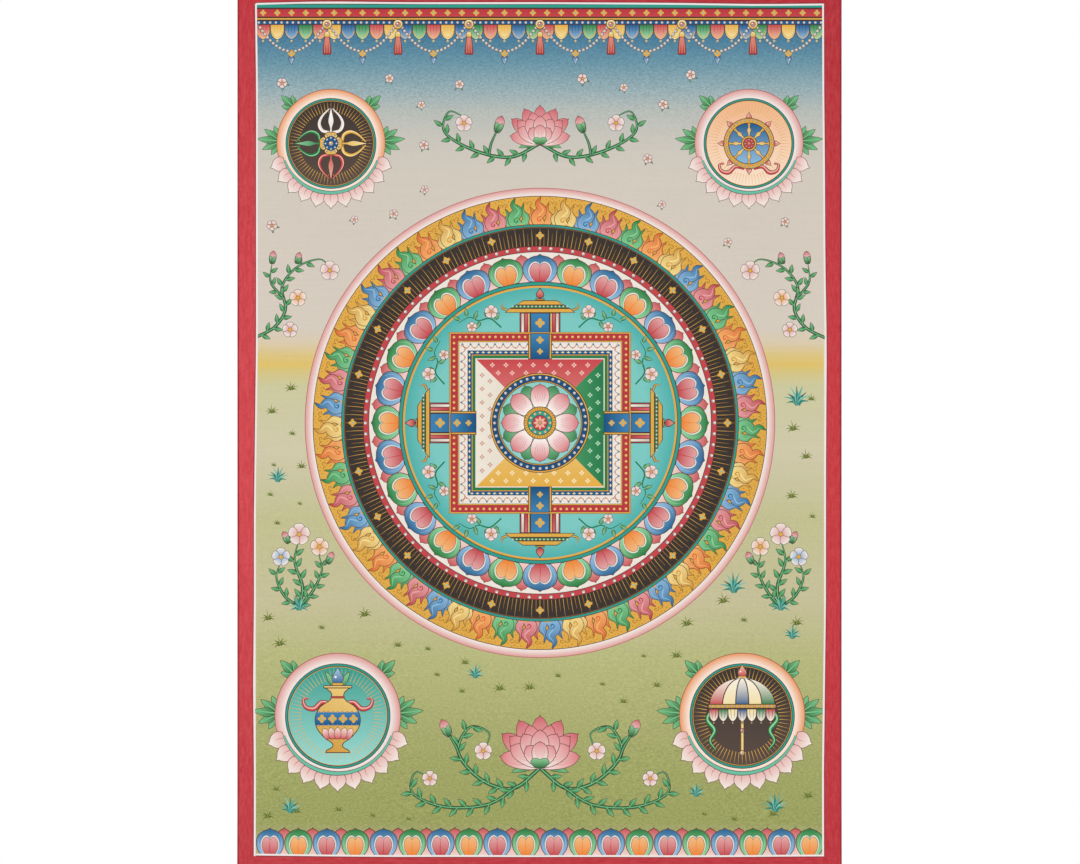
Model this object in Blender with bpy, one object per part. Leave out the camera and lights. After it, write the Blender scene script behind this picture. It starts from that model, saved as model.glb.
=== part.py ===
"""A thangka painting on cotton canvas, unrolled and hanging by its top edge.

The real piece is one length of plain-woven cotton, sized with glue and chalk on both sides,
painted on the front and cut off square just outside its painted red border.
Picture, white line and border are all paint on that one cloth, so the model is one sheet.

Metres, +Z up. The origin is the middle of the top edge, halfway through the cloth.
The painted side faces -Y, and the cloth hangs down -Z.
"""

import math

import bmesh
import bpy

# The cloth
PICTURE_WIDTH = 0.500  # inside the white line, the usual 50 x 75 cm painting
PICTURE_HEIGHT = 0.750
BORDER_LEFT = 0.0164  # red border with the white line
BORDER_RIGHT = 0.0156
BORDER_TOP = 0.0160
BORDER_BOTTOM = 0.0160
THICKNESS = 0.0010

CLOTH_WIDTH = PICTURE_WIDTH + BORDER_LEFT + BORDER_RIGHT
CLOTH_HEIGHT = PICTURE_HEIGHT + BORDER_TOP + BORDER_BOTTOM

# How it hangs: straight along the strip that holds it, with soft swells further down
# and a lower edge that still curls forward a little from being kept rolled.
STRAIGHT_STRIP = 0.034  # below the top edge, a little more than the first row of faces
SETTLING_LENGTH = 0.260  # the swells grow to full height over this length
SWELLS = (
    {"crest_x": -0.185, "half_width": 0.120, "forward": 0.0014},
    {"crest_x": -0.035, "half_width": 0.130, "forward": -0.0010},
    {"crest_x": 0.125, "half_width": 0.115, "forward": 0.0012},
    {"crest_x": 0.235, "half_width": 0.080, "forward": -0.0008},
)
CURL_LENGTH = 0.110
CURL_FORWARD = 0.0022

# Faces of about 33 mm, so that each soft swell has several
COLUMNS = 16
ROWS = 24
EDGE_ANGLE = math.radians(40.0)  # the cut edges stay sharp, the swells are shaded smooth


def eased(share):
    """0 to 1 with level ends."""
    share = min(max(share, 0.0), 1.0)
    return share * share * (3.0 - 2.0 * share)


def hang_of(x, z):
    """How far the cloth stands forward, towards -Y, at a point of its face."""
    below = -z
    grown = eased((below - STRAIGHT_STRIP) / SETTLING_LENGTH)
    forward = 0.0
    for swell in SWELLS:
        reach = 1.0 - abs(x - swell["crest_x"]) / swell["half_width"]
        forward += swell["forward"] * eased(reach) * grown
    curled = max(below - (CLOTH_HEIGHT - CURL_LENGTH), 0.0) / CURL_LENGTH
    return forward + CURL_FORWARD * curled * curled


def painted_cotton():
    material = bpy.data.materials.new("painted_cotton")
    material.use_nodes = True
    surface = material.node_tree.nodes["Principled BSDF"]
    surface.inputs["Base Color"].default_value = (0.552, 0.053, 0.067, 1.0)
    surface.inputs["Roughness"].default_value = 0.85
    surface.inputs["Metallic"].default_value = 0.0
    return material


def canvas_sheet():
    """The one piece of cloth: a grid laid in its hanging shape, then given its thickness."""
    mesh = bpy.data.meshes.new("painted_canvas")
    cloth = bmesh.new()
    bmesh.ops.create_grid(cloth, x_segments=COLUMNS, y_segments=ROWS, size=0.5)
    for vertex in cloth.verts:
        x = vertex.co.x * CLOTH_WIDTH
        z = (vertex.co.y - 0.5) * CLOTH_HEIGHT
        vertex.co = (x, -hang_of(x, z) - THICKNESS / 2, z)
    back = bmesh.ops.extrude_face_region(cloth, geom=cloth.faces[:])["geom"]
    back_corners = [item for item in back if isinstance(item, bmesh.types.BMVert)]
    bmesh.ops.translate(cloth, verts=back_corners, vec=(0.0, THICKNESS, 0.0))
    bmesh.ops.recalc_face_normals(cloth, faces=cloth.faces)
    cloth.to_mesh(mesh)
    cloth.free()
    mesh.materials.append(painted_cotton())
    mesh.shade_smooth()
    mesh.set_sharp_from_angle(angle=EDGE_ANGLE)
    sheet = bpy.data.objects.new("painted_canvas", mesh)
    bpy.context.scene.collection.objects.link(sheet)
    return sheet


for old in list(bpy.data.objects):
    bpy.data.objects.remove(old)
canvas_sheet()
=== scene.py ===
"""The looks of a thangka painting: mineral paint on primed cotton, hanging by its top edge.

The picture is a generic design, a ringed lotus with ornaments round it on a sky and meadow wash.
"""

import math
from collections import defaultdict, namedtuple

import bpy
import numpy as np
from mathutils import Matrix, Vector, geometry


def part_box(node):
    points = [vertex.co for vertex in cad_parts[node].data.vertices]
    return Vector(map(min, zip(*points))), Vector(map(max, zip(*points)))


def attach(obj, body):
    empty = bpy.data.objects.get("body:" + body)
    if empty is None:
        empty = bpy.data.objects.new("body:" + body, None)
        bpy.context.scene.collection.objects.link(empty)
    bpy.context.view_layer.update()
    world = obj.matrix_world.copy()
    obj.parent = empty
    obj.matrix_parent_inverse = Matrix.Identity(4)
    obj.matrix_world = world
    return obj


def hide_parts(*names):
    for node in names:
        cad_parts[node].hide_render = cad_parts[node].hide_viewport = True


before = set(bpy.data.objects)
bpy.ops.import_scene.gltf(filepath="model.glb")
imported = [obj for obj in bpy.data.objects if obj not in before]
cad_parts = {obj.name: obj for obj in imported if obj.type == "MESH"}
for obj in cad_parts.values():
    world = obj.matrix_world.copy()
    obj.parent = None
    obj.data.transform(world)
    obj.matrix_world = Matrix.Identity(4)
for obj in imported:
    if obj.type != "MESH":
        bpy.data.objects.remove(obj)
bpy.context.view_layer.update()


# --- The cotton on its stretching frame ---------------------------------------------------------
# The real cloth is plain-woven cotton, primed with glue and chalk and rubbed smooth on both sides.
# It is painted while it is laced flat in a frame, so all that follows is drawn flat, in millimetres
# from the middle of the picture, and is laid on the hanging cloth in the last section.
MM = 0.001
cloth_low, cloth_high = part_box("painted_canvas")
CLOTH_WIDTH = (cloth_high.x - cloth_low.x) / MM
CLOTH_HEIGHT = (cloth_high.z - cloth_low.z) / MM
CLOTH_THICKNESS = 1.0
ROUNDING = 0.3  # the worn corner of the cut edges
PICTURE_WIDTH = 500.0
PICTURE_HEIGHT = 750.0
BORDER_LEFT = 16.4  # the red border was ruled by hand, a little wider on its left
BORDER_TOP = 16.0
PICTURE_MIDDLE = (
    BORDER_LEFT + (PICTURE_WIDTH - CLOTH_WIDTH) / 2,
    -BORDER_TOP - PICTURE_HEIGHT / 2,
)
RIGHT = PICTURE_WIDTH / 2
TOP = PICTURE_HEIGHT / 2
CLOTH_LEFT = -CLOTH_WIDTH / 2 - PICTURE_MIDDLE[0]
CLOTH_RIGHT = CLOTH_WIDTH / 2 - PICTURE_MIDDLE[0]
CLOTH_BOTTOM = -CLOTH_HEIGHT - PICTURE_MIDDLE[1]
CLOTH_TOP = -PICTURE_MIDDLE[1]
COTTON = "#E6DDCB"
THREAD = 1.2  # the real threads are 0.4 mm apart, too fine to show, so they are drawn coarser
LOOSE_WEAVE = 9.0  # over which a thread wanders from its line
SLUB = 45.0  # the length of the thick places in a thread
SLUB_SIZES = ((SLUB, SLUB, THREAD), (THREAD, SLUB, SLUB))  # in the threads across and those up
GRAIN = 2.0  # spots of pigment, drawn coarser than the real 0.5 mm
DABS = (2.3, 2.3, 1.2)  # the dabs of a dry brush, drawn coarser than the real 1 mm
DABBED_FROM = 0.62  # the red share of a colour, above which it is left unbroken
DABBED_FULLY = 0.28  # how far below that the dabs are at their strongest
SWING = 4.0  # a mottle strays by a quarter from its middle, so four times makes the full share
GRAIN_RELIEF = 0.6  # how high the pigment stands beside the threads
MATHS = "ShaderNodeMath"


def linear(code):
    """An sRGB hex colour as linear red, green and blue."""
    shares = np.array([int(code[i : i + 2], 16) / 255.0 for i in (1, 3, 5)])
    return np.where(shares <= 0.04045, shares / 12.92, ((shares + 0.055) / 1.055) ** 2.4)


def add_node(tree, kind, *values, **settings):
    """Adds a node with its settings. The values go to its inputs in their order, or in a dict by
    name. A socket is linked, a node is linked by its first output, and anything else is set."""
    made = tree.nodes.new(kind)
    for name, setting in settings.items():
        setattr(made, name, setting)
    named = values[0] if values and isinstance(values[0], dict) else dict(enumerate(values))
    for name, value in named.items():
        if isinstance(value, bpy.types.Node):
            value = value.outputs[0]
        if isinstance(value, bpy.types.NodeSocket):
            tree.links.new(value, made.inputs[name])
        else:
            made.inputs[name].default_value = value
    return made


def mottle(tree, places, size, detail):
    """Uneven between 0 and 1, in spots of so many millimetres across, along and up."""
    scale = [1.0 / (MM * length) for length in size]
    stretched = add_node(tree, "ShaderNodeMapping", {"Vector": places, "Scale": scale})
    spots = {"Vector": stretched, "Scale": 1.0, "Detail": detail}
    return add_node(tree, "ShaderNodeTexNoise", spots)


def cloth_finish(
    name,
    roughness,
    streak,
    streak_size,
    grain,
    tooth,
    metallic=0.0,
    specular=0.2,
    dabs=0.0,
    bloom=0.0,
    slubs=0.0,
):
    """What lies on the cotton. Its colour is painted on the mesh; the brush leaves streaks in it,
    the pigment a grain, and the threads show through as a fine tooth. A wash that was deepened dab
    by dab is also uneven where it is dark, rubbed paint has a chalky bloom in its streaks, and bare
    cloth shows the thick places of its threads, the slubs."""
    material = bpy.data.materials.new(name)
    material.use_nodes = True
    tree = material.node_tree
    tree.nodes.clear()
    places = add_node(tree, "ShaderNodeTexCoord").outputs["Object"]
    colour = add_node(tree, "ShaderNodeVertexColor", layer_name="paint")

    wander = mottle(tree, places, (LOOSE_WEAVE, LOOSE_WEAVE, LOOSE_WEAVE), 1.0)
    stray = add_node(tree, MATHS, wander, math.tau, operation="MULTIPLY")
    apart = add_node(tree, "ShaderNodeSeparateXYZ", places).outputs
    threads = []
    for axis in "XZ":
        turns = (apart[axis], math.tau / (MM * THREAD), stray)
        turned = add_node(tree, MATHS, *turns, operation="MULTIPLY_ADD")
        threads.append(add_node(tree, MATHS, turned, operation="SINE"))
    weave = add_node(tree, MATHS, *threads, operation="MULTIPLY")

    streaks = mottle(tree, places, streak_size, 3.0)
    grains = mottle(tree, places, (GRAIN, GRAIN, GRAIN), 2.0)
    uneven = [(streaks, streak), (grains, grain)]
    for size in SLUB_SIZES if slubs else ():
        uneven.append((mottle(tree, places, size, 1.0), slubs))
    value = add_node(tree, MATHS, weave, tooth / 2, 1.0, operation="MULTIPLY_ADD")
    for pattern, share in uneven:
        swing = (SWING * share, 1.0 - SWING * share / 2)
        factor = add_node(tree, MATHS, pattern, *swing, operation="MULTIPLY_ADD")
        value = add_node(tree, MATHS, value, factor, operation="MULTIPLY")
    if dabs:
        pale = add_node(tree, "ShaderNodeSeparateColor", colour)
        dark = (pale, -1.0, DABBED_FROM)
        depth = add_node(tree, MATHS, *dark, operation="MULTIPLY_ADD", use_clamp=True)
        depth = add_node(tree, MATHS, depth, DABBED_FULLY, operation="MINIMUM")
        swing = (mottle(tree, places, DABS, 1.0), 2.0 * dabs, -dabs)
        dab = add_node(tree, MATHS, *swing, operation="MULTIPLY_ADD")
        factor = add_node(tree, MATHS, dab, depth, 1.0, operation="MULTIPLY_ADD")
        value = add_node(tree, MATHS, value, factor, operation="MULTIPLY")

    chalk = add_node(tree, MATHS, streaks, 2.0 * bloom, -bloom, operation="MULTIPLY_ADD")
    tone = (colour, value, chalk)
    toned = add_node(tree, "ShaderNodeVectorMath", *tone, operation="MULTIPLY_ADD")
    relief = add_node(tree, MATHS, grains, GRAIN_RELIEF, weave, operation="MULTIPLY_ADD")
    height = {"Height": relief, "Strength": 1.0, "Distance": MM * tooth}
    looks = {
        "Base Color": toned,
        "Roughness": roughness,
        "Metallic": metallic,
        "Specular IOR Level": specular,
        "Normal": add_node(tree, "ShaderNodeBump", height),
    }
    shader = add_node(tree, "ShaderNodeBsdfPrincipled", looks)
    add_node(tree, "ShaderNodeOutputMaterial", shader)
    return material


# Chalk and glue rubbed smooth: matt, off-white, with cloudy stains from the glue, and threads that
# show in both directions
stains = (35.0, 35.0, 35.0)
primed_cotton = cloth_finish("chalk_primed_cotton", 0.9, 0.03, stains, 0.02, 0.09, slubs=0.065)


# --- The sky and meadow wash --------------------------------------------------------------------
# The first coat on the priming is thin colour, laid in level bands that are drawn into each other
# with a damp brush: indigo at the top, bare warm priming, a yellow glow and then grass green.
WASH = [
    (375.0, "#437A99"),
    (345.0, "#487C9A"),
    (322.0, "#6C97A8"),
    (300.0, "#96AEB4"),
    (281.0, "#B7BDB8"),
    (255.0, "#CBC7BD"),
    (225.0, "#D4CBBF"),
    (90.0, "#D7CDC0"),
    (77.0, "#DBCCB0"),
    (66.0, "#DDC685"),
    (57.0, "#E0C26C"),
    (50.0, "#D6C686"),
    (38.0, "#CDCAA0"),
    (-20.0, "#D1CAAC"),
    (-80.0, "#C3C192"),
    (-150.0, "#C7C19B"),
    (-200.0, "#B8B980"),
    (-290.0, "#A2A768"),
    (-345.0, "#9BA161"),
    (-375.0, "#B9B189"),
]
Coat = namedtuple("Coat", "outline colours finish")
THIN, BODY, GILT, SIDE_RED, LEVEL_RED, BARE = range(6)  # finishes, in the order of the materials

# Thin colour in glue soaks into the priming: quite matt, with long level streaks of the wide brush,
# and deepened with thousands of dabs of a nearly dry one in the blue and the green
glue_wash = cloth_finish("thin_glue_wash", 0.9, 0.02, (70.0, 70.0, 2.5), 0.02, 0.05, dabs=1.3)


def signed_area(outline):
    across, up = outline.T
    return 0.5 * float(np.sum(across * np.roll(up, -1) - np.roll(across, -1) * up))


def anticlockwise(outline):
    outline = np.asarray(outline, float)
    return outline[::-1] if signed_area(outline) < 0.0 else outline


def coat(outline, colour, to=None, fade=90.0, finish=BODY):
    """One shape of paint. With a second colour it fades to that one, in the direction given."""
    outline = anticlockwise(outline)
    colours = np.tile(linear(colour), (len(outline), 1))
    if to:
        reach = outline @ (math.cos(math.radians(fade)), math.sin(math.radians(fade)))
        share = (reach - reach.min()) / np.ptp(reach)
        colours += share[:, None] * (linear(to) - colours)
    return Coat(outline, colours, finish)


def block(left, right, low, high):
    return np.array([(left, low), (right, low), (right, high), (left, high)], float)


painting = [coat(block(CLOTH_LEFT, CLOTH_RIGHT, CLOTH_BOTTOM, CLOTH_TOP), COTTON, finish=BARE)]
for (high, upper), (low, lower) in zip(WASH, WASH[1:]):
    painting.append(coat(block(-RIGHT, RIGHT, low, high), lower, upper, finish=THIN))


# --- Grass tufts and blossoms -------------------------------------------------------------------
# The calm wash is broken by small tufts, each a few pulls of a fine brush in two greens, and by
# loose blossoms. They are spread apart, never touching, and later shapes are painted over them.
INK = "#4A3230"  # the brown-black of the outlines
INK_LINE = 0.65
SHARPEST = 0.4  # limits how far an outline's sharp corners are drawn in
FULLEST = 0.4  # where along a pull the brush is pressed down hardest
LEAF_DARK = "#1D6B33"
LEAF_PALE = "#8CCB94"
BLOSSOM_PINK = "#DFA3A0"
BLOSSOM_WHITE = "#F0E6DF"
BLOSSOM_PETALS = 5
GOLD = "#E5AE45"
GRASS_GREENS = ("#5F6A2E", "#7E8B3E", "#4E5A28", "#8D9A50")
SPIKE_GREENS = ("#2E8479", "#5CA99A", "#23695F", "#7FBFAE")
MOST_TUFTS = 0.05  # in each square millimetre, before those that are too near are taken out
KEPT_CLEAR = (  # across to both sides, up, and radius of what is painted later with room round it
    (0.0, 6.0, 215.0),
    (184.0, 252.0, 60.0),
    (0.0, 268.0, 48.0),
    (62.0, 264.0, 36.0),
    (180.0, -250.0, 75.0),
    (212.0, -130.0, 40.0),
    (214.0, 122.0, 46.0),
    (222.0, 88.0, 30.0),
    (0.0, -290.0, 62.0),
    (72.0, -306.0, 50.0),
    (80.0, -262.0, 20.0),
    (112.0, -312.0, 16.0),
)

# Ground minerals in glue, laid thicker: matt and even, with only a trace of the weave left
distemper = cloth_finish("mineral_distemper", 0.85, 0.015, (12.0, 12.0, 6.0), 0.018, 0.03)
# Powdered gold in glue, burnished with an agate: a soft sheen, broken up by the grain
shell_gold = cloth_finish("shell_gold", 0.42, 0.02, (4.0, 4.0, 4.0), 0.05, 0.03, 0.35, 0.5)


def curved(points, steps):
    """A smooth line through given points, with that many steps between two of them."""
    points = np.asarray(points, float)
    ends = np.vstack([2.0 * points[:1] - points[1:2], points, 2.0 * points[-1:] - points[-2:-1]])
    share = np.linspace(0.0, 1.0, steps, endpoint=False)[:, None]
    line = [
        start
        + share * 0.5 * (end - before)
        + share**2 * (before - 2.5 * start + 2.0 * end - 0.5 * after)
        + share**3 * (1.5 * (start - end) + 0.5 * (after - before))
        for before, start, end, after in zip(ends, ends[1:], ends[2:], ends[3:])
    ]
    return np.vstack([*line, points[-1:]])


def mirrored(half):
    """A closed outline from its right half, root to tip."""
    left = np.asarray(half, float)[::-1] * (-1.0, 1.0)
    return np.vstack([half, left[np.abs(left[:, 0]) > 1e-6]])


def circle(radius, sides, across=0.0, up=0.0):
    turns = np.arange(sides) * math.tau / sides
    return np.stack([across + radius * np.cos(turns), up + radius * np.sin(turns)], axis=1)


def inset(outline, line):
    """The outline drawn in by the width of a line."""
    outline = anticlockwise(outline)
    runs = np.roll(outline, -1, axis=0) - outline
    runs /= np.linalg.norm(runs, axis=1)[:, None]
    normals = runs[:, ::-1] * (-1.0, 1.0)
    before = np.roll(normals, 1, axis=0)
    sharpness = np.maximum(1.0 + np.sum(normals * before, axis=1), SHARPEST)
    return outline + line * (normals + before) / sharpness[:, None]


def inked(outline, colour, to=None, fade=90.0, line=INK_LINE, ink=INK, finish=BODY):
    """A shape with a brush-drawn outline."""
    return [coat(outline, ink), coat(inset(outline, line), colour, to, fade, finish)]


def pull(points, width, colour, root, tip, finish=BODY, to=None):
    """One pull of a pointed brush along a line, with its share of the width at both ends."""
    points = np.asarray(points, float)
    runs = np.gradient(points, axis=0)
    runs /= np.linalg.norm(runs, axis=1)[:, None]
    share = np.linspace(0.0, 1.0, len(points))
    press = 0.5 * width * np.interp(share, (0.0, FULLEST, 1.0), (root, 1.0, tip))
    side = press[:, None] * runs[:, ::-1] * (-1.0, 1.0)
    return coat(np.vstack([points - side, (points + side)[::-1]]), colour, to, finish=finish)


def moved(shapes, across=0.0, up=0.0, turn=0.0, size=1.0, mirror=False):
    """The shapes painted somewhere else, turned in degrees, larger, or the other way round."""
    cosine, sine = math.cos(math.radians(turn)), math.sin(math.radians(turn))
    placed = []
    for outline, colours, finish in shapes:
        if mirror:
            outline, colours = (outline * (-1.0, 1.0))[::-1], colours[::-1]
        turned = outline @ np.array([(cosine, sine), (-sine, cosine)])
        placed.append(Coat(size * turned + (across, up), colours, finish))
    return placed


def fanned(shapes, *turns, up=0.0):
    """The shapes once for each turn, in degrees, about one root."""
    return [shape for turn in turns for shape in moved(shapes, up=up, turn=turn)]


def tuft(greens, blades, height, spread):
    """Blades from one root, the outer ones shorter and bent over."""
    shapes = []
    for i in range(blades):
        lean = -1.0 + 2.0 * i / (blades - 1)
        length = height * (1.0 - 0.45 * abs(lean) + 0.12 * (i % 2))
        bend = math.radians(spread * lean)
        root = 0.7 * lean
        middle = root + 0.45 * length * math.sin(0.7 * bend), 0.5 * length * math.cos(0.7 * bend)
        tip = root + length * math.sin(1.3 * bend), length * math.cos(1.3 * bend)
        line = curved([(root, 0.0), middle, tip], 2)
        shapes.append(pull(line, 0.16 * height, greens[i % len(greens)], 0.7, 0.1))
    return shapes


def blossom(petal, middle, radius, colour=BLOSSOM_PINK):
    """A small open flower with round petals that pale towards their rims."""
    half = [(0, 0), (0.42 * petal, 0.5 * radius), (0.36 * petal, 0.9 * radius), (0, radius)]
    shapes = inked(mirrored(curved(half, 3)), colour, BLOSSOM_WHITE, line=0.35)
    turns = [360.0 * i / BLOSSOM_PETALS for i in range(BLOSSOM_PETALS)]
    return fanned(shapes, *turns) + inked(circle(middle, 10), GOLD, finish=GILT, line=0.3)


def leaf(length, width, dark=LEAF_DARK, pale=LEAF_PALE):
    """A pointed leaf with its midrib, growing up from its root."""
    half = [(0, 0), (0.5 * width, 0.38 * length), (0.28 * width, 0.78 * length), (0, length)]
    rib = [(0, 0), (0, 0.45 * length), (0, 0.85 * length)]
    blade = inked(mirrored(curved(half, 3)), dark, pale, line=0.4)
    return blade + [pull(rib, 0.12 * width + 0.15, pale, 1.0, 0.15)]


def lay_paint(mesh, colours):
    """Gives every corner of a mesh its colour."""
    layer = mesh.color_attributes.new("paint", "FLOAT_COLOR", "CORNER")
    opaque = np.pad(colours, ((0, 0), (0, 1)), constant_values=1.0)
    layer.data.foreach_set("color", opaque.ravel())


def board_mesh(name, shapes):
    """Shapes as flat faces on the board, each corner with its colour, for a node tree to repeat."""
    flat = np.concatenate([shape.outline for shape in shapes])
    ends = np.cumsum([len(shape.outline) for shape in shapes])
    faces = [list(range(end - len(shape.outline), end)) for shape, end in zip(shapes, ends)]
    drawn = bpy.data.meshes.new(name)
    drawn.from_pydata(np.pad(flat, ((0, 0), (0, 1))).tolist(), [], faces)
    lay_paint(drawn, np.concatenate([shape.colours for shape in shapes]))
    layer = drawn.attributes.new("finish", "INT", "FACE")
    layer.data.foreach_set("value", [shape.finish for shape in shapes])
    return drawn


def read_back(rows, name, width, kind=float):
    """What a mesh keeps under that name, with so many numbers in each row."""
    values = np.empty(width * len(rows), kind)
    rows.foreach_get(name, values)
    return values.reshape(-1, width)


def shapes_of(drawn):
    """The shapes that a mesh of flat faces holds."""
    flat = read_back(drawn.vertices, "co", 3)[:, :2]
    corners = read_back(drawn.loops, "vertex_index", 1, int)[:, 0]
    colours = read_back(drawn.attributes["paint"].data, "color", 4)[:, :3]
    finishes = read_back(drawn.attributes["finish"].data, "value", 1, int)[:, 0].tolist()
    starts = read_back(drawn.polygons, "loop_start", 1, int)[:, 0]
    spans = zip(starts, [*starts[1:], len(corners)], finishes)
    return [Coat(flat[corners[start:end]], colours[start:end], made) for start, end, made in spans]


SOCKETS = {
    "Geometry": "NodeSocketGeometry",
    "Motif": "NodeSocketObject",
    "Paint": "NodeSocketMaterial",
    "Count": "NodeSocketInt",
    "Seed": "NodeSocketInt",
}
SPREAD_SIZES = ("Apart", "Smallest", "Largest", "Lean", "Seed")


def start_tree(name, *sizes):
    """An empty Geometry Nodes tree with its motif, its paint and the named sizes as inputs."""
    tree = bpy.data.node_groups.new(name, "GeometryNodeTree")
    for size in ("Geometry", "Motif", "Paint", *sizes):
        kind = SOCKETS.get(size, "NodeSocketFloat")
        tree.interface.new_socket(size, in_out="INPUT", socket_type=kind)
    tree.interface.new_socket("Geometry", in_out="OUTPUT", socket_type=SOCKETS["Geometry"])
    return tree, add_node(tree, "NodeGroupInput").outputs


def end_tree(tree, given, marks, turn, scale=(1.0, 1.0, 1.0)):
    """Paints the motif at every mark, as real faces with the paint on them."""
    motif = add_node(tree, "GeometryNodeObjectInfo", given["Motif"]).outputs["Geometry"]
    placing = {"Points": marks, "Instance": motif, "Rotation": turn, "Scale": scale}
    repeats = add_node(tree, "GeometryNodeInstanceOnPoints", placing)
    real = add_node(tree, "GeometryNodeRealizeInstances", repeats)
    paint = {"Geometry": real, "Material": given["Paint"]}
    painted = add_node(tree, "GeometryNodeSetMaterial", paint)
    add_node(tree, "NodeGroupOutput", painted)
    return tree


def scatter_tree():
    """Spreads the motif over an area, no two nearer than Apart, a little turned and resized."""
    tree, given = start_tree("spread_over_wash", *SPREAD_SIZES)
    area = {"Mesh": given["Geometry"], "Distance Min": given["Apart"]}
    area |= {"Density Max": MOST_TUFTS, "Seed": given["Seed"]}
    marks = add_node(tree, "GeometryNodeDistributePointsOnFaces", area, distribute_method="POISSON")
    limits = {"Min": given["Smallest"], "Max": given["Largest"], "Seed": given["Seed"]}
    size = add_node(tree, "FunctionNodeRandomValue", limits).outputs["Value"]
    back = add_node(tree, MATHS, given["Lean"], -1.0, operation="MULTIPLY")
    limits = {"Min": back, "Max": given["Lean"], "Seed": given["Seed"], "ID": 7}
    lean = add_node(tree, "FunctionNodeRandomValue", limits).outputs["Value"]
    turn = add_node(tree, "ShaderNodeCombineXYZ", {"Z": lean})
    return end_tree(tree, given, marks, turn, size)


def put_in_scene(name, data):
    made = bpy.data.objects.new(name, data)
    bpy.context.scene.collection.objects.link(made)
    return made


def repeated(tree, motif, sizes, seat=None):
    """The motif repeated by a node tree, on a seat if it needs one, read back as plain shapes."""
    seat = seat or bpy.data.meshes.new("no_seat")
    motif_piece = put_in_scene("motif", board_mesh("motif", motif))
    piece = put_in_scene("repeats", seat)
    given = {"Motif": motif_piece, "Paint": distemper, **sizes}
    modifier = piece.modifiers.new("repeats", "NODES")
    modifier.node_group = tree
    for socket in tree.interface.items_tree:
        if socket.name in given:
            modifier[socket.identifier] = given[socket.name]
    seen = piece.evaluated_get(bpy.context.evaluated_depsgraph_get())
    drawn = bpy.data.meshes.new_from_object(seen)
    shapes = shapes_of(drawn)
    piece.modifiers.clear()
    for made in (piece, motif_piece):
        bpy.data.objects.remove(made)
    for made in (drawn, seat):
        bpy.data.meshes.remove(made)
    return shapes


def kept_clear(motif, repeats):
    """The repeats of a motif without those that stand where something else is to be painted."""
    each = len(motif)
    roots = np.array([shape.outline.mean(axis=0) for shape in repeats[::each]])
    clear = np.ones(len(roots), bool)
    for across, up, radius in KEPT_CLEAR:
        for side in (-across, across):
            clear &= np.hypot(*(roots - (side, up)).T) > radius
    return [shape for i in np.flatnonzero(clear) for shape in repeats[i * each : (i + 1) * each]]


def spread(motif, sizes, outline):
    """The motif spread over an area of the wash, clear of all that is painted later."""
    seat = bpy.data.meshes.new("area")
    seat.from_pydata([(x, y, 0.0) for x, y in outline], [], [list(range(len(outline)))])
    return kept_clear(motif, repeated(spread_nodes, motif, sizes, seat))


spread_nodes = scatter_tree()
meadow = block(-RIGHT + 9.0, RIGHT - 9.0, -TOP + 31.0, 40.0)
sky = block(-RIGHT + 14.0, RIGHT - 14.0, 75.0, TOP - 62.0)
falling = fanned(leaf(6.5, 2.6), 150.0, 215.0) + blossom(4.6, 1.1, 4.2)
for motif, outline, *spacing in (
    (tuft(GRASS_GREENS, 7, 6.5, 80.0), meadow, 24.0, 0.6, 1.35, 0.25, 4),
    (tuft(SPIKE_GREENS, 9, 15.0, 55.0), meadow, 60.0, 0.8, 1.2, 0.08, 11),
    (falling, sky, 34.0, 0.8, 1.15, 0.8, 3),
):
    painting += spread(motif, dict(zip(SPREAD_SIZES, spacing)), outline)


# --- The outer rings ----------------------------------------------------------------------------
# Rings struck with a cord from one centre and filled from the outside in: a pink aura, a gold band
# of curling flames in five colours, a black band with hair-fine gold rays, and a row of pearls.
RINGS_UP = 6.0  # the centre of the rings, above the middle of the picture
AURA_RADIUS = 207.0
FLAME_RADIUS = 200.0
RIM_RADIUS = 175.0
RAY_RADIUS = 172.0
PEARL_RADIUS = 156.0
PETAL_RADIUS = 151.0
FLAMES = 55
RAYS = 144  # of each of the two lengths
GOLD_FLOWERS = 24
PEARLS = 100
RING_SIDES = 160
AURA_PINK = "#DE9C98"
AURA_WHITE = "#F3EAE4"
GOLD_DEEP = "#C98F35"
GOLD_PALE = "#F4DD93"
GOLD_LINE = "#9A6420"
BLACK = "#39322F"
BLUE_PALE = "#8DB9DC"
ROSE_PALE = "#E8A1A3"
WHITE = "#FFFFFF"
TURQUOISE = "#6FC2BD"
TURQUOISE_DEEP = "#2E9C8D"
CORAL = "#C4454A"
CREAM = "#EDE5DB"
PEARL_GREY = "#A79F9A"
LIT_FROM = 115.0  # degrees; beads and pearls are shaded from the lower right to the upper left
QUARTERS = (0, 90, 180, 270)
FLAME_PAINTS = (
    ("#D9622B", "#F5B26C"),
    ("#1F8040", "#86CC93"),
    ("#B93A42", ROSE_PALE),
    ("#1B6596", BLUE_PALE),
    ("#CE8F2C", GOLD_PALE),
)
TONGUES = (  # the width of each tongue of a flame and its line
    (5.6, [(-5.8, -0.5), (-8.2, 4.5), (-6.4, 9.5), (-9.2, 15.5)]),
    (5.6, [(5.8, -0.5), (8.4, 5.5), (5.8, 11.5), (7.6, 18.5)]),
    (9.4, [(0, -1), (-3, 5.5), (1.8, 12), (-2, 18), (0.8, 23.6)]),
)


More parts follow.
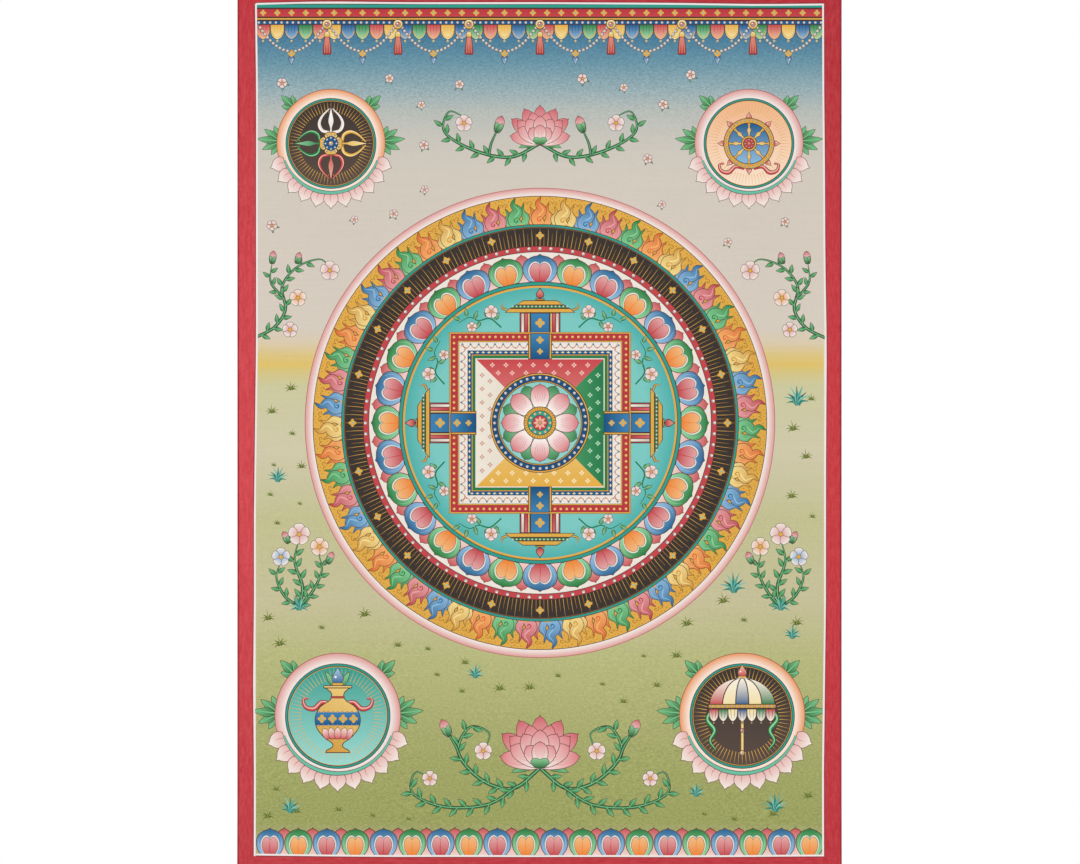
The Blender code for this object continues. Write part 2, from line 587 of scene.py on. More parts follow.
def ring_tree():
    """Paints the motif round a circle, its root on the circle and its top outwards."""
    tree, given = start_tree("round_a_ring", "Count", "Radius", "Start")
    marks = add_node(tree, "GeometryNodeMeshLine", {"Count": given["Count"]})
    index = add_node(tree, "GeometryNodeInputIndex")
    share = add_node(tree, MATHS, index, given["Count"], operation="DIVIDE")
    turn = add_node(tree, MATHS, share, math.tau, given["Start"], operation="MULTIPLY_ADD")
    out = add_node(tree, "ShaderNodeCombineXYZ", {"Y": given["Radius"]})
    swung = {"Vector": out, "Angle": turn}
    place = add_node(tree, "ShaderNodeVectorRotate", swung, rotation_type="Z_AXIS")
    seated = add_node(tree, "GeometryNodeSetPosition", {"Geometry": marks, "Position": place})
    turned = add_node(tree, "ShaderNodeCombineXYZ", {"Z": turn})
    return end_tree(tree, given, seated, turned)


def round_ring(motif, count, radius, start=0.0):
    """The motif count times round a ring, the first one start of a step past the top."""
    sizes = {"Count": count, "Radius": radius, "Start": start * math.tau / count}
    return repeated(ring_nodes, motif, sizes)


def band(radius, colour, finish=BODY, sides=RING_SIDES):
    """A filled circle with its outline. The next one in covers all but a band of it."""
    return inked(circle(radius, sides), colour, finish=finish, line=0.6)


def faded_band(outer, within, rim, heart, sides=RING_SIDES):
    """A band whose colour changes from its rim inwards."""
    lines = circle(outer, sides), circle(within, sides)
    tints = linear(rim), linear(heart)
    shapes = []
    for i in range(sides):
        for corners in (((0, i - 1), (0, i), (1, i)), ((0, i - 1), (1, i), (1, i - 1))):
            outline = np.array([lines[line][at] for line, at in corners])
            shapes.append(Coat(outline, np.array([tints[line] for line, _ in corners]), BODY))
    return shapes


def bead(radius, colour=CREAM, shade=PEARL_GREY):
    """A bead too small to be outlined."""
    return [coat(circle(radius, 8), shade, colour, LIT_FROM)]


def pearl(radius, colour=CREAM):
    """A bead with a grey lower side and, if it is large enough, a touch of white."""
    sides = 10 if radius > 1.3 else 8
    shapes = [coat(circle(radius, sides), INK)]
    shapes.append(coat(circle(radius - 0.3, sides), PEARL_GREY, colour, LIT_FROM))
    if radius > 1.7:
        shapes.append(coat(circle(0.28 * radius, 5, -0.28 * radius, 0.3 * radius), WHITE))
    return shapes


def spiral(radius, turns, steps):
    """A line that curls from its root at the origin, starting upwards, into its middle."""
    angles = np.linspace(0.0, turns * math.tau, steps)
    reach = radius * (1.0 - np.linspace(0.0, 0.92, steps) ** 0.8)
    return np.stack([-radius + reach * np.cos(angles), reach * np.sin(angles)], axis=1)


def flame(dark, pale):
    """Three tongues of fire that sway and part at their tips, with a curl at their root."""
    shapes = []
    for width, points in TONGUES:
        path = curved(points, 4)
        shapes.append(pull(path, width + 1.0, INK, 1.0, 0.1))
        shapes.append(pull(path, width, pale, 1.0, 0.02, to=dark))
        shapes.append(pull(path[2:-3] + (0.12 * width, 0.0), 0.16 * width, pale, 0.5, 0.1))
    return shapes + moved([pull(spiral(3.6, 1.25, 14), 1.0, dark, 0.3, 0.8)], 3.4, 3.6)


def both_sides(shapes):
    return shapes + moved(shapes, mirror=True)


def gold_scroll():
    """Two hair-fine curls and a few dots, in brown on the gold."""
    curl = moved([pull(spiral(2.9, 1.1, 9), 0.5, GOLD_LINE, 0.8, 1.0)], 0.2, 0.0, -8.0)
    marks = ((-5.6, 4.4), (5.8, 3.6), (0, -4.6), (0, 4.8), (-2.6, 5.6), (2.6, 5.6))
    return both_sides(curl) + [coat(circle(0.5, 4, x, y), GOLD_LINE) for x, y in marks]


def gold_flower(radius):
    """A four-petalled gold flower with a turquoise bead."""
    half = [(0, 0), (0.42 * radius, 0.45 * radius), (0.24 * radius, 0.85 * radius), (0, radius)]
    petals = fanned([coat(mirrored(curved(half, 2)), GOLD, finish=GILT)], *QUARTERS)
    return petals + [coat(circle(0.26 * radius, 8), TURQUOISE)]


ring_nodes = ring_tree()
rings = [coat(circle(AURA_RADIUS, RING_SIDES), "#A9605C")]
rings += faded_band(AURA_RADIUS - 0.5, FLAME_RADIUS, AURA_PINK, AURA_WHITE)
rings += band(FLAME_RADIUS, GOLD, GILT)
rings += round_ring(gold_scroll(), FLAMES, FLAME_RADIUS - 7.4, 0.5)
hues = len(FLAME_PAINTS)
for number, (dark, pale) in enumerate(FLAME_PAINTS):
    rings += round_ring(flame(dark, pale), FLAMES // hues, RIM_RADIUS + 0.5, number / hues)
rings += band(RIM_RADIUS, TURQUOISE_DEEP)
rings += band(RAY_RADIUS + 0.8, GOLD_DEEP, GILT)
rings += band(RAY_RADIUS, BLACK)
long_ray = pull([(0, 0), (0.15, 7), (0, 15.2)], 0.42, GOLD, 1.0, 0.3, GILT)
short_ray = pull([(0, 0), (0, 5), (0, 11)], 0.42, GOLD_DEEP, 1.0, 0.3, GILT)
rings += round_ring([long_ray], RAYS, PEARL_RADIUS)
rings += round_ring([short_ray], RAYS, PEARL_RADIUS, 0.5)
rings += round_ring(gold_flower(3.6), GOLD_FLOWERS, (RAY_RADIUS + PEARL_RADIUS) / 2 + 1.0)
rings += band(PEARL_RADIUS, CORAL)
rings += round_ring(pearl(1.75), PEARLS, (PEARL_RADIUS + PETAL_RADIUS) / 2)
rings += band(PETAL_RADIUS, CREAM)


# --- The lotus ring -----------------------------------------------------------------------------
# Two rows of petals with their tips outwards. Each is laid in flat and shaded from a deep rim to a
# pale root, with a double inner petal in a warm colour; red petals show between the front ones.
LOTUS_RADIUS = 124.0
LOTUS_LENGTH = 26.0
LOTUS_PETALS = 28
LOTUS_LAP = 1.02  # the petals are this much wider than their share of the ring
GREEN_PALE = "#93D5A2"
PETAL_PAINTS = (  # rim, root, inner petal and its cleft
    ("#12608F", "#93BFE2", "#E3A6A6", "#C2454A"),
    ("#127836", GREEN_PALE, "#F2BC80", "#EC8434"),
)
PETAL_RED = "#C8474B"
PETAL_ROSE = "#F0D0C9"
OGEE = [(0.3, 0), (0.45, 0.22), (0.5, 0.48), (0.44, 0.72), (0.25, 0.885), (0.07, 0.945), (0, 1)]
LOBES = [(0.24, 0), (0.44, 0.3), (0.5, 0.6), (0.4, 0.88), (0.22, 1), (0.06, 0.94), (0, 0.84)]


def petal_of(half, width, length, steps):
    """A petal's outline, from its right half in shares of its width and length."""
    return mirrored(curved(np.array(half) * (width, length), steps))


def ogee(width, length, steps=4):
    """A lotus petal: full shoulders that turn in to a small point."""
    return petal_of(OGEE, width, length, steps)


def lotus_petal(width, length, rim, root, warm, deep):
    """One petal of the rings with its double inner petal, which has a notch at its top."""
    shapes = inked(ogee(width, length), root, rim, ink="#5D3A3A")
    hair = curved(np.array([(0.36, 0.2), (0.41, 0.5), (0.3, 0.78)]) * (width, length), 3)
    shapes += [pull(side, 0.45, root, 0.2, 0.2) for side in (hair, hair * (-1.0, 1.0))]
    shapes.append(coat(petal_of(LOBES, 0.66 * width, 0.72 * length, 4), CREAM))
    inner = petal_of(LOBES, 0.60 * width, 0.68 * length, 4)
    shapes += inked(inner, deep, warm, line=0.4, ink="#7A4440")
    cleft = [(0, 0), (-0.012 * width, 0.3 * length), (0, 0.56 * length)]
    return shapes + [pull(cleft, 0.8, deep, 1.0, 0.2)]


red_petal = inked(ogee(0.60 * LOTUS_LENGTH, LOTUS_LENGTH - 0.5), PETAL_ROSE, PETAL_RED, line=0.45)
rings += round_ring(red_petal, LOTUS_PETALS, LOTUS_RADIUS, 0.5)
petal_width = LOTUS_LAP * math.tau * (LOTUS_RADIUS + 0.45 * LOTUS_LENGTH) / LOTUS_PETALS
for number, paints in enumerate(PETAL_PAINTS):
    petal = lotus_petal(petal_width, LOTUS_LENGTH - 1.0, *paints)
    rings += round_ring(petal, LOTUS_PETALS // 2, LOTUS_RADIUS, 0.5 * number)
rings += band(LOTUS_RADIUS + 0.5, TURQUOISE_DEEP)
rings += band(LOTUS_RADIUS - 2.6, GOLD, GILT)
painting += moved(rings, up=RINGS_UP)


# --- The square court ---------------------------------------------------------------------------
# A square court with four gates, seen from above as such rings always hold one: a turquoise ground
# with leaf scrolls, walls in narrow ruled bands, hanging beads, and four floors in four colours.
GROUND_RADIUS = 119.0
GROUND_FADE = 96.0  # the radius down to which the ground pales
WALL = 80.0  # half the side of the court, outside its walls
GATE_TOP = 97.0
FLOOR = 56.0
GROUND_PALE = "#7CC9C2"
BLUE = "#17588A"
BLUE_DEEP = "#154F7C"
BLUE_LIT = "#3C82B4"
RED = "#B8363F"
GREEN = "#23804A"
STRAW = "#F2DFA6"
WALL_BANDS = (
    (80.0, GOLD, GILT),
    (78.6, RED, BODY),
    (72.6, GOLD, GILT),
    (71.4, CREAM, BODY),
    (63.8, BLUE, BODY),
    (60.4, GOLD, GILT),
    (59.4, GREEN, BODY),
    (57.2, CREAM, BODY),
)
ROOF_STEPS = (  # half its foot, half its head, and from where to where it stands
    (31.0, 27.0, GATE_TOP, 101.0, GOLD, GILT),
    (26.0, 22.0, 101.0, 104.0, GREEN, BODY),
    (21.0, 15.0, 104.0, 108.0, GOLD, GILT),
)
FLOOR_PAINTS = (
    (PETAL_RED, "#DE8B86", "#F3C9BD"),
    ("#EFE6D8", "#DDD0C2", "#C4917F"),
    ("#E3AE48", "#EFCB80", "#FBEBC0"),
    ("#24794A", "#5CAE77", "#B9E0BC"),
)
TENDRIL = [(34, 84), (44, 92), (54, 90), (62, 93), (72, 88)]
TENDRIL_LEAVES = (  # where each grows from the tendril and how far it leans
    (40, 90, 30),
    (47, 92.5, -5),
    (52, 90, -150),
    (58, 91, 20),
    (64, 93, -12),
    (70, 90, -60),
)


def line_tree():
    """Paints the motif at even steps along lines, its foot on the line and its top to the left."""
    tree, given = start_tree("along_a_line", "Spacing")
    curve = add_node(tree, "GeometryNodeMeshToCurve", given["Geometry"])
    steps = {"Curve": curve, "Length": given["Spacing"]}
    marks = add_node(tree, "GeometryNodeCurveToPoints", steps, mode="LENGTH").outputs
    along_it = {"Vector": marks["Tangent"]}
    turn = add_node(tree, "FunctionNodeAlignRotationToVector", along_it, axis="X", pivot_axis="Z")
    return end_tree(tree, given, marks["Points"], turn)


def joins(paths, first=0, closed=False):
    """Which points to join for each path, where the points of all are numbered from the first."""
    pairs = []
    for path in paths:
        ring = [(first + i, first + (i + 1) % len(path)) for i in range(len(path))]
        pairs += ring if closed else ring[:-1]
        first += len(path)
    return pairs


def along(motif, spacing, *lines):
    """The motif repeated along one or more lines of the board."""
    seat = bpy.data.meshes.new("lines")
    seat.from_pydata([(x, y, 0.0) for line in lines for x, y in line], joins(lines), [])
    return repeated(line_nodes, motif, {"Spacing": spacing}, seat)


def level(reach, up):
    """A level line that reaches as far to both sides."""
    return [(-reach, up), (reach, up)]


line_nodes = line_tree()
ground = faded_band(GROUND_RADIUS, GROUND_FADE, "#4FB0AB", GROUND_PALE)
ground.append(coat(circle(GROUND_FADE, 96), GROUND_PALE))

# Leaf scrolls in the four bows between the court and the ring, and blossoms at its corners
tendril = [pull(curved(TENDRIL, 4), 1.3, "#1F7A56", 1.0, 0.4)]
for x, y, lean in TENDRIL_LEAVES:
    tendril += moved(leaf(8.5, 3.8), x, y, lean)
tendril += moved(blossom(6.4, 1.5, 6.0), 43, 98) + moved(blossom(5.0, 1.2, 4.6), 60, 84.5)
ground += fanned(both_sides(tendril), *QUARTERS)

# One gate: a red body between cream pillars, under a stepped golden roof with a jewel on it
gate = inked(block(-18, 18, WALL - 1.0, GATE_TOP), RED, "#D4686A")
for side in (-1.0, 1.0):
    pillar = block(*sorted((side * 17.0, side * 13.5)), WALL - 1.0, GATE_TOP)
    post = block(*sorted((side * 11.0, side * 8.6)), FLOOR, GATE_TOP)
    gate += inked(pillar, CREAM, "#CFBFB0") + inked(post, GOLD, "#F0D287", finish=GILT)
gate += inked(block(-8.6, 8.6, FLOOR - 1.0, GATE_TOP), BLUE_DEEP, BLUE_LIT)
for foot, head, low, high, colour, finish in ROOF_STEPS:
    gate += inked([(-foot, low), (foot, low), (head, high), (-head, high)], colour, finish=finish)
gate += along(bead(0.85), 3.4, level(24.0, 102.5))
for side in (-1.0, 1.0):
    horn = curved([(29.0 * side, 99.5), (33.5 * side, 101.5), (33.0 * side, 106.0)], 4)
    gate += [pull(horn, 2.2, INK, 1.0, 0.2), pull(horn, 1.2, GOLD, 1.0, 0.2, GILT)]
jewel_half = curved([(0, 0), (3.4, 1.8), (3.2, 5.2), (1.2, 7.8), (0, 10)], 3)
jewel = inked(mirrored(jewel_half), RED, "#E8A08F")
jewel += inked(block(-4, 4, -1.6, 0.2), GOLD, finish=GILT)
gate += moved(jewel, up=109.4)
for size, up in ((4.4, 88.0), (3.4, 76.0), (2.8, 66.0)):
    gate += moved(gold_flower(size), up=up)

court = round_ring(gate, 4, 0.0)
for half, colour, finish in WALL_BANDS:
    court += inked(block(-half, half, -half, half), colour, line=0.3, finish=finish)

# What hangs on the walls: gold studs on red, looped beads on white, lozenges on blue
loop = curved([(-3.6, 5.9), (-2, 2.6), (0, 1.6), (2, 2.6), (3.6, 5.9)], 3)
hanging = [pull(loop, 0.6, "#B4763A", 1.0, 1.0)]
hanging += moved(bead(0.8, ROSE_PALE, "#B4505A"), up=1.7)
hanging += moved(bead(0.9, "#5E9CC8", BLUE), -3.6, 4.9)
lozenge = [coat([(-1.7, 0), (0, -0.9), (1.7, 0), (0, 0.9)], STRAW, finish=GILT)]
side_wall = along(bead(1.2, GOLD_PALE, GOLD_DEEP), 5.1, level(75.6, 75.6))
side_wall += along(hanging, 7.2, level(64.8, 64.4)) + along(lozenge, 5.0, level(60.0, 62.1))
side_wall += inked(block(-10.5, 10.5, FLOOR, 78.6), GOLD, finish=GILT)
side_wall += inked(block(-8.6, 8.6, FLOOR - 0.6, 79.0), BLUE_DEEP, BLUE_LIT)
side_wall += moved(gold_flower(3.4), up=73.0) + moved(gold_flower(2.8), up=63.0)
court += round_ring(side_wall, 4, 0.0)

# Four floors that meet in the middle, each with rows of small flowers in its own tints
for turn, (deep, mild, light) in zip(QUARTERS, FLOOR_PAINTS):
    tiles = [coat([(-FLOOR, FLOOR), (0, 0), (FLOOR, FLOOR)], mild, deep)]
    sprig = fanned([coat(mirrored([(0, 0.3), (0.9, 1.2), (0, 2.4)]), light)], *QUARTERS)
    for reach, up in ((42.0, 51.0), (36.8, 44.0)):
        tiles += along(sprig, 12.0, level(reach, up))
    court += moved(tiles, turn=turn)


# --- The lotus at the heart ---------------------------------------------------------------------
# Two rows of eight petals open from a gold seed head. It is the last and finest work of the rings,
# with pink that is drawn into white while both are wet.
HEART_RADIUS = 44.0
SEED_RADIUS = 14.5
HEART_PETALS = 8
VEINS = (-0.26, -0.13, 0, 0.13, 0.26)  # where a petal's veins are, in shares of its width
THREAD_BROWN = "#8A5A24"
GREEN_DEEP = "#1F7A44"
GREEN_LIT = "#A6DDB0"


def open_petal(width, length, rim, root):
    """One pointed petal with fine veins."""
    shapes = inked(ogee(width, length, 5), root, rim, line=0.5, ink="#6E4644")
    for lean in VEINS:
        bow = ((0.5 * lean, 0.22), (lean, 0.5), (0.7 * lean, 0.8))
        vein = curved([(across * width, up * length) for across, up in bow], 3)
        shapes.append(pull(vein, 0.35, rim, 0.3, 0.1))
    return shapes


heart = band(HEART_RADIUS, GOLD, GILT, 72) + band(HEART_RADIUS - 1.6, BLUE_DEEP, sides=72)
heart += round_ring(bead(1.25), 44, HEART_RADIUS - 4.0)
heart += band(HEART_RADIUS - 6.3, GOLD, GILT, 72) + band(HEART_RADIUS - 7.4, "#8FD0C8", sides=72)
back_petal = open_petal(15.0, 22.5, GREEN_DEEP, GREEN_LIT)
front_petal = open_petal(17.0, 21.5, "#D56A72", "#FBF3EE")
heart += round_ring(back_petal, HEART_PETALS, SEED_RADIUS - 1.0, 0.5)
heart += round_ring(front_petal, HEART_PETALS, SEED_RADIUS - 1.0)
heart += band(SEED_RADIUS, GOLD, GILT, 48)
stamen = [pull([(0, 0), (0, 1), (0, 2.2)], 0.5, THREAD_BROWN, 1.0, 1.0)]
heart += round_ring(stamen, 36, SEED_RADIUS - 2.9)
heart += band(SEED_RADIUS - 3.4, TURQUOISE_DEEP, sides=40)
heart += round_ring(bead(1.1, GOLD_PALE, GOLD_DEEP), 12, SEED_RADIUS - 5.6)
heart += band(SEED_RADIUS - 7.6, CORAL, sides=32)
heart += round_ring([coat(mirrored([(0, 0.6), (1.3, 3), (0, 5.8)]), "#F0B49F")], 8, 0.3)
heart += pearl(1.5, GOLD)
painting += moved(ground + court + heart, up=RINGS_UP)


# --- The four medallions ------------------------------------------------------------------------
# A disc with a soft rim on a seat of white lotus petals stands in each corner, with leaves behind
# it. Each holds one of the old good-luck signs: a wheel, a crossed bolt, a vase and a parasol.
DISC_RADIUS = 40.0
RIM_WIDTH = 7.5
DISC_SIDES = 72
SEAT_PETALS = 11
SEAT_SPREAD = 68.0  # degrees of the disc's foot that the petals cover, to each side
SEAT_PETAL = np.array([(0.34, 0), (0.47, 0.24), (0.47, 0.5), (0.31, 0.76), (0.1, 0.92), (0, 1.08)])
SEAT_CREASE = np.array([(0, 0.1), (-0.06, 0.35), (0, 0.6)])
SEAT_SIZE = (13.6, -13.5)  # a petal hangs point down from the disc
BLUE_WHITE = "#A9CBE6"
BONE = "#F4EEE6"
CORAL_PALE = "#F0B9A0"
GOLD_LIT = "#F7E6A8"
LEAF_DEEP = "#14602D"
LEAF_LIT = "#7CC48A"
SILK_WHITE = "#FBF3E4"


def leans(count, spread):
    """The slants of a fan's parts, in degrees to both sides, from the outer ones inwards."""
    parts = sorted(range(count), key=lambda i: -abs(i - (count - 1) / 2))
    return [spread * (2.0 * i / (count - 1) - 1.0) for i in parts]


def leaf_fan(count, length, spread):
    """Broad pointed leaves from one root, each with a dark middle and a pale edge."""
    shapes = []
    for lean in leans(count, spread):
        blade = leaf(length * (1.0 - 0.3 * abs(lean) / spread), 7.2, LEAF_DEEP, LEAF_LIT)
        shapes += moved(blade, turn=lean)
    return shapes


def medallion(sign, rim, rim_pale, inside, inside_pale):
    """The sign on its disc, with its leaves and its seat of white petals with rosy roots."""
    fans = moved(leaf_fan(5, 21.0, 62.0), 44.5, 2.0, -84.0)
    shapes = both_sides(fans + moved(leaf_fan(3, 15.0, 40.0), 33.0, 32.0, -46.0))
    outer = DISC_RADIUS + RIM_WIDTH
    shapes.append(coat(circle(outer + 0.5, DISC_SIDES), "#9A5650"))
    shapes += faded_band(outer, DISC_RADIUS, rim, rim_pale, DISC_SIDES)
    shapes += band(DISC_RADIUS, TURQUOISE_DEEP, sides=DISC_SIDES)
    shapes += band(DISC_RADIUS - 1.8, GOLD, GILT, DISC_SIDES)
    shapes.append(coat(circle(DISC_RADIUS - 2.8, DISC_SIDES), inside, inside_pale, -90.0))
    ray = pull([(0, 0), (0, 4), (0, 9)], 0.5, GOLD, 1.0, 0.2, GILT)
    shapes += round_ring([ray], DISC_SIDES, DISC_RADIUS - 12.5) + sign
    foot = outer - 4.0
    outline = mirrored(curved(SEAT_PETAL, 2)) * SEAT_SIZE
    petal = inked(outline, BONE, "#E6B3AE", line=0.45, ink="#7B4C48")
    petal.append(pull(curved(SEAT_CREASE * SEAT_SIZE, 2), 0.6, "#C9837F", 1.0, 0.1))
    shapes += fanned(moved(petal, up=-foot), *leans(SEAT_PETALS, SEAT_SPREAD))
    slants = np.radians(np.linspace(-70.0, 70.0, 37))
    rim_line = [(foot * math.sin(slant), -foot * math.cos(slant)) for slant in slants]
    return shapes + [pull(rim_line, 3.6, INK, 0.5, 0.5), pull(rim_line, 2.6, "#6CC0A4", 0.5, 0.5)]


def ribbon(points, width, dark, pale):
    """A narrow silk band with a lit fold down one side."""
    path = curved(points, 5)
    light = pull(path + (0.0, 0.16 * width), 0.42 * width, pale, 0.6, 0.2)
    return [pull(path, width + 0.9, INK, 0.7, 0.35), pull(path, width, dark, 0.7, 0.3), light]


def side_ribbons(height):
    """Two silk bands that fly out to both sides and curl up at their ends."""
    line = [(4, 0), (12, 1.5), (18, -3.5), (24.5, -2), (26, 3.5), (22, 4.5)]
    return moved(both_sides(ribbon(line, 3.2, CORAL, "#EFB0A4")), up=height)


def drop(width, length, dark=CORAL, pale=CORAL_PALE):
    """A drop-shaped jewel on a gold cup."""
    half = np.array([(0, 0), (0.42, 0.12), (0.5, 0.4), (0.2, 0.75), (0, 1)]) * (width, length)
    shapes = inked(mirrored(curved(half, 3)), dark, pale, line=0.4)
    shapes.append(coat(circle(0.1 * width, 6, -0.18 * width, 0.42 * length), "#FFF6EE"))
    cup = block(-0.45 * width, 0.45 * width, -0.14 * length, 0.1 * length)
    return shapes + inked(cup, GOLD, finish=GILT, line=0.3)


def wheel():
    """Eight spokes in a beaded gold rim, with a jewel at the end of each."""
    shapes = side_ribbons(-22.0) + round_ring(drop(5.0, 7.0), 8, 21.0)
    shapes += band(22.5, GOLD, GILT, 64) + round_ring(pearl(0.95), 36, 20.6)
    shapes += inked(circle(18.4, 56), BLUE, BLUE_PALE, -90.0)
    spoke = mirrored(curved([(1.6, 5), (0.9, 8.5), (2.1, 11.6), (0.9, 14.6), (1.7, 18.2)], 3))
    shapes += round_ring(inked(spoke, GOLD_PALE, GOLD, finish=GILT, line=0.4), 8, 0.0)
    shapes += band(7.0, GOLD, GILT, 32) + band(5.2, CORAL, sides=28)
    return shapes + round_ring(pearl(0.8), 8, 3.4) + pearl(1.4, GOLD)


def crossed_bolt():
    """Four pronged arms, each in its own colour, round a blue boss."""
    shapes = []
    darks = ("#E9DFD2", GREEN_DEEP, CORAL, GOLD)
    pales = (WHITE, GREEN_PALE, CORAL_PALE, GOLD_LIT)
    prong = curved([(1, 8), (6.4, 9.5), (8.6, 14.5), (6.4, 20), (1.2, 25.5)], 4)
    spine = mirrored(curved([(1.7, 7), (0.9, 11), (2.2, 16), (1.3, 22), (0, 28)], 3))
    collar = mirrored(curved([(3.2, 3), (5, 5.6), (3, 8.4)], 3))
    for turn, dark, pale in zip(QUARTERS, darks, pales):
        arm = [pull(prong, 3.4, INK, 0.8, 0.4), pull(prong, 2.4, dark, 0.8, 0.3)]
        arm = both_sides(arm + [pull(prong + (0.5, 0.0), 0.8, pale, 0.6, 0.2)])
        arm += inked(spine, dark, pale, line=0.4)
        arm += inked(collar, GOLD_PALE, GOLD, finish=GILT, line=0.4)
        for radius, across in ((0.9, 0.0), (0.7, 2.7), (0.7, -2.7)):
            arm += moved(pearl(radius), across, 5.8)
        shapes += moved(arm, turn=turn)
    shapes += band(5.4, BLUE, sides=28) + round_ring(bead(0.7), 8, 4.0) + pearl(1.9, GOLD)
    return moved(shapes, size=1.2)


def vase():
    """A gold vase with a blue belly band, lotus petals at its foot and a jewel in its mouth."""
    foot = [(9.5, -29), (8.4, -26.6), (4.4, -24.4), (4.6, -21.6), (10.5, -17.4), (16.2, -10)]
    neck = [(17.4, -2), (13.8, 6), (7.2, 10.4), (5, 13.6), (5.6, 17), (10, 20.6)]
    half = curved(foot + neck, 3)
    heights = np.linspace(-8.0, 2.0, 7)
    belly = np.stack([np.interp(heights, half[:, 1], half[:, 0]) - 0.5, heights], axis=1)
    shapes = side_ribbons(8.0) + fanned(leaf(17.0, 6.0), *leans(3, 34.0), up=19.0)
    shapes += moved(drop(9.0, 13.5, BLUE, BLUE_WHITE), up=23.0)
    shapes += inked(mirrored(half), "#D89D38", "#F2D17E", 60.0, finish=GILT)
    shapes.append(coat(mirrored(belly), BLUE, BLUE_LIT))
    shapes += along(pearl(0.8), 3.6, level(14.4, -8.0), level(14.4, 2.0))
    shapes += along(gold_flower(3.4), 8.0, level(12.0, -3.0))
    petal = inked(ogee(5.4, 9.5, 2), "#D0545A", "#F6DDD2", line=0.35)
    for across, turn in ((-7, 24), (7, -24), (-3.6, 12), (3.6, -12), (0, 0)):
        shapes += moved(petal, across, -18.6, turn)
    shapes += inked(block(-5.2, 5.2, 12.4, 14.2), CORAL, line=0.35)
    lip = mirrored([(10.6, 20), (11.2, 21.2), (10.4, 22.4)])
    return moved(shapes + inked(lip, GOLD, GOLD_LIT, finish=GILT), up=1.0)


def parasol():
    """A domed silk parasol with a frill of pleats, a jewel on top and two falling bands."""
    fall = [(23, 2), (26.5, -6), (21, -14), (24.5, -22), (20, -29)]
    shapes = both_sides(ribbon(fall, 3.4, GREEN_DEEP, GREEN_PALE))
    shapes += inked(block(-1.1, 1.1, -31, 4), GOLD, GOLD_LIT, 0.0, GILT)
    shapes += moved(pearl(2.0, GOLD), up=-31.0) + moved(pearl(1.8, CORAL), up=-14.0)
    shapes += moved(drop(7.0, 10.0), up=26.5)
    rise = np.radians(np.linspace(0.0, 90.0, 9))
    silks = (CORAL, STRAW, BLUE, STRAW, GREEN_DEEP)
    seams = [
        np.stack([25.0 * share * np.cos(rise), 5.0 + 21.0 * np.sin(rise)], axis=1)
        for share in np.linspace(-1.0, 1.0, len(silks) + 1)
    ]
    for left, right, silk in zip(seams, seams[1:], silks):
        shapes += inked(np.vstack([right, left[-2::-1]]), silk, SILK_WHITE, line=0.4)
    shapes += inked(block(-26, 26, 2.6, 6.2), GOLD, finish=GILT)
    shapes += along(pearl(0.95), 3.7, level(24.2, 4.4))
    fold = mirrored(curved([(3.7, 2.4), (3.5, -3), (2, -6), (0, -7.4)], 2)[::-1])
    for across, silk in ((-21.6, CORAL), (-14.4, GREEN_DEEP), (-7.2, STRAW), (0.0, BLUE)):
        frill = inked(fold, SILK_WHITE, silk, line=0.4)
        for x in (-1.6, 1.6):
            frill.append(pull([(x, 2), (0.8 * x, -2), (0.6 * x, -5.4)], 0.4, INK, 0.6, 0.2))
        frill += moved(pearl(0.9, GOLD), up=-8.2)
        shapes += moved(frill, across) + (moved(frill, -across) if across else [])
    return moved(shapes, up=3.0)


DARK_DISC = ("#E99A63", "#FBEADB", BLACK, "#5A4B43")
for sign, across, up, size, paints in (
    (crossed_bolt(), -184.0, 252.0, 1.0, DARK_DISC),
    (wheel(), 184.0, 252.0, 1.0, (AURA_PINK, AURA_WHITE, "#F0B487", "#FBE3CC")),
    (vase(), -178.0, -252.0, 1.16, (AURA_PINK, AURA_WHITE, TURQUOISE_DEEP, "#9ADAD2")),
    (parasol(), 178.0, -252.0, 1.16, DARK_DISC),
):
    painting += moved(medallion(sign, *paints), across, up, size=size)


# --- The lotus sprays ---------------------------------------------------------------------------
# Above and below the rings a lotus stands between curling stems with buds and leaves. One half is
# drawn first and the other is its mirror image, as when a sketch is pounced through folded paper.
STEM_GREEN = "#1F6E45"
LEAFY_FROM = 0.08  # the share of a stem's length where its leaves start, and where they end
LEAFY_TO = 0.80
LOTUS_ROSE = "#CF5D68"
BUD_SIZES = {  # length and width
    "full": (17.0, 9.0),
    "long": (16.0, 8.5),
    "small": (12.0, 6.6),
    "least": (11.0, 6.0),
}
BROAD_LEAF = (LEAF_DEEP, "#74BE82")
ORANGE_BLOSSOM = "#EBA35F"
BLUE_BLOSSOM = "#7FA9D0"
LOTUS_ROWS = (  # petals, spread, length and width of each, rim and root
    (5, 52.0, 38.0, 15.0, LOTUS_ROSE, "#F4D5CC"),
    (6, 80.0, 32.0, 14.0, "#D9747A", "#FAEAE2"),
    (5, 60.0, 27.0, 14.5, "#DE868A", BONE),
    (3, 38.0, 17.5, 13.0, "#DE868A", BONE),
)


def bud(size):
    """A closed lotus bud in its sepals."""
    length, width = BUD_SIZES[size]
    sepal = inked(ogee(0.55 * width, 0.62 * length, 2), LEAF_DEEP, LEAF_PALE, line=0.35)
    return inked(ogee(width, length, 3), BONE, LOTUS_ROSE, line=0.4) + fanned(sepal, -16.0, 16.0)


def stalk(path, light_path, width, tip):
    """A green line with inked edges and a light down its middle."""
    edges = pull(path, width + 0.9, INK, 1.0, tip)
    light = pull(light_path, 0.3 * width, LEAF_LIT, 1.0, tip)
    return [edges, pull(path, width, STEM_GREEN, 1.0, tip), light]


def twig(points, width):
    """A short bare stalk that carries one bud."""
    path = curved(points, 4)
    return stalk(path, path, width, 0.7)


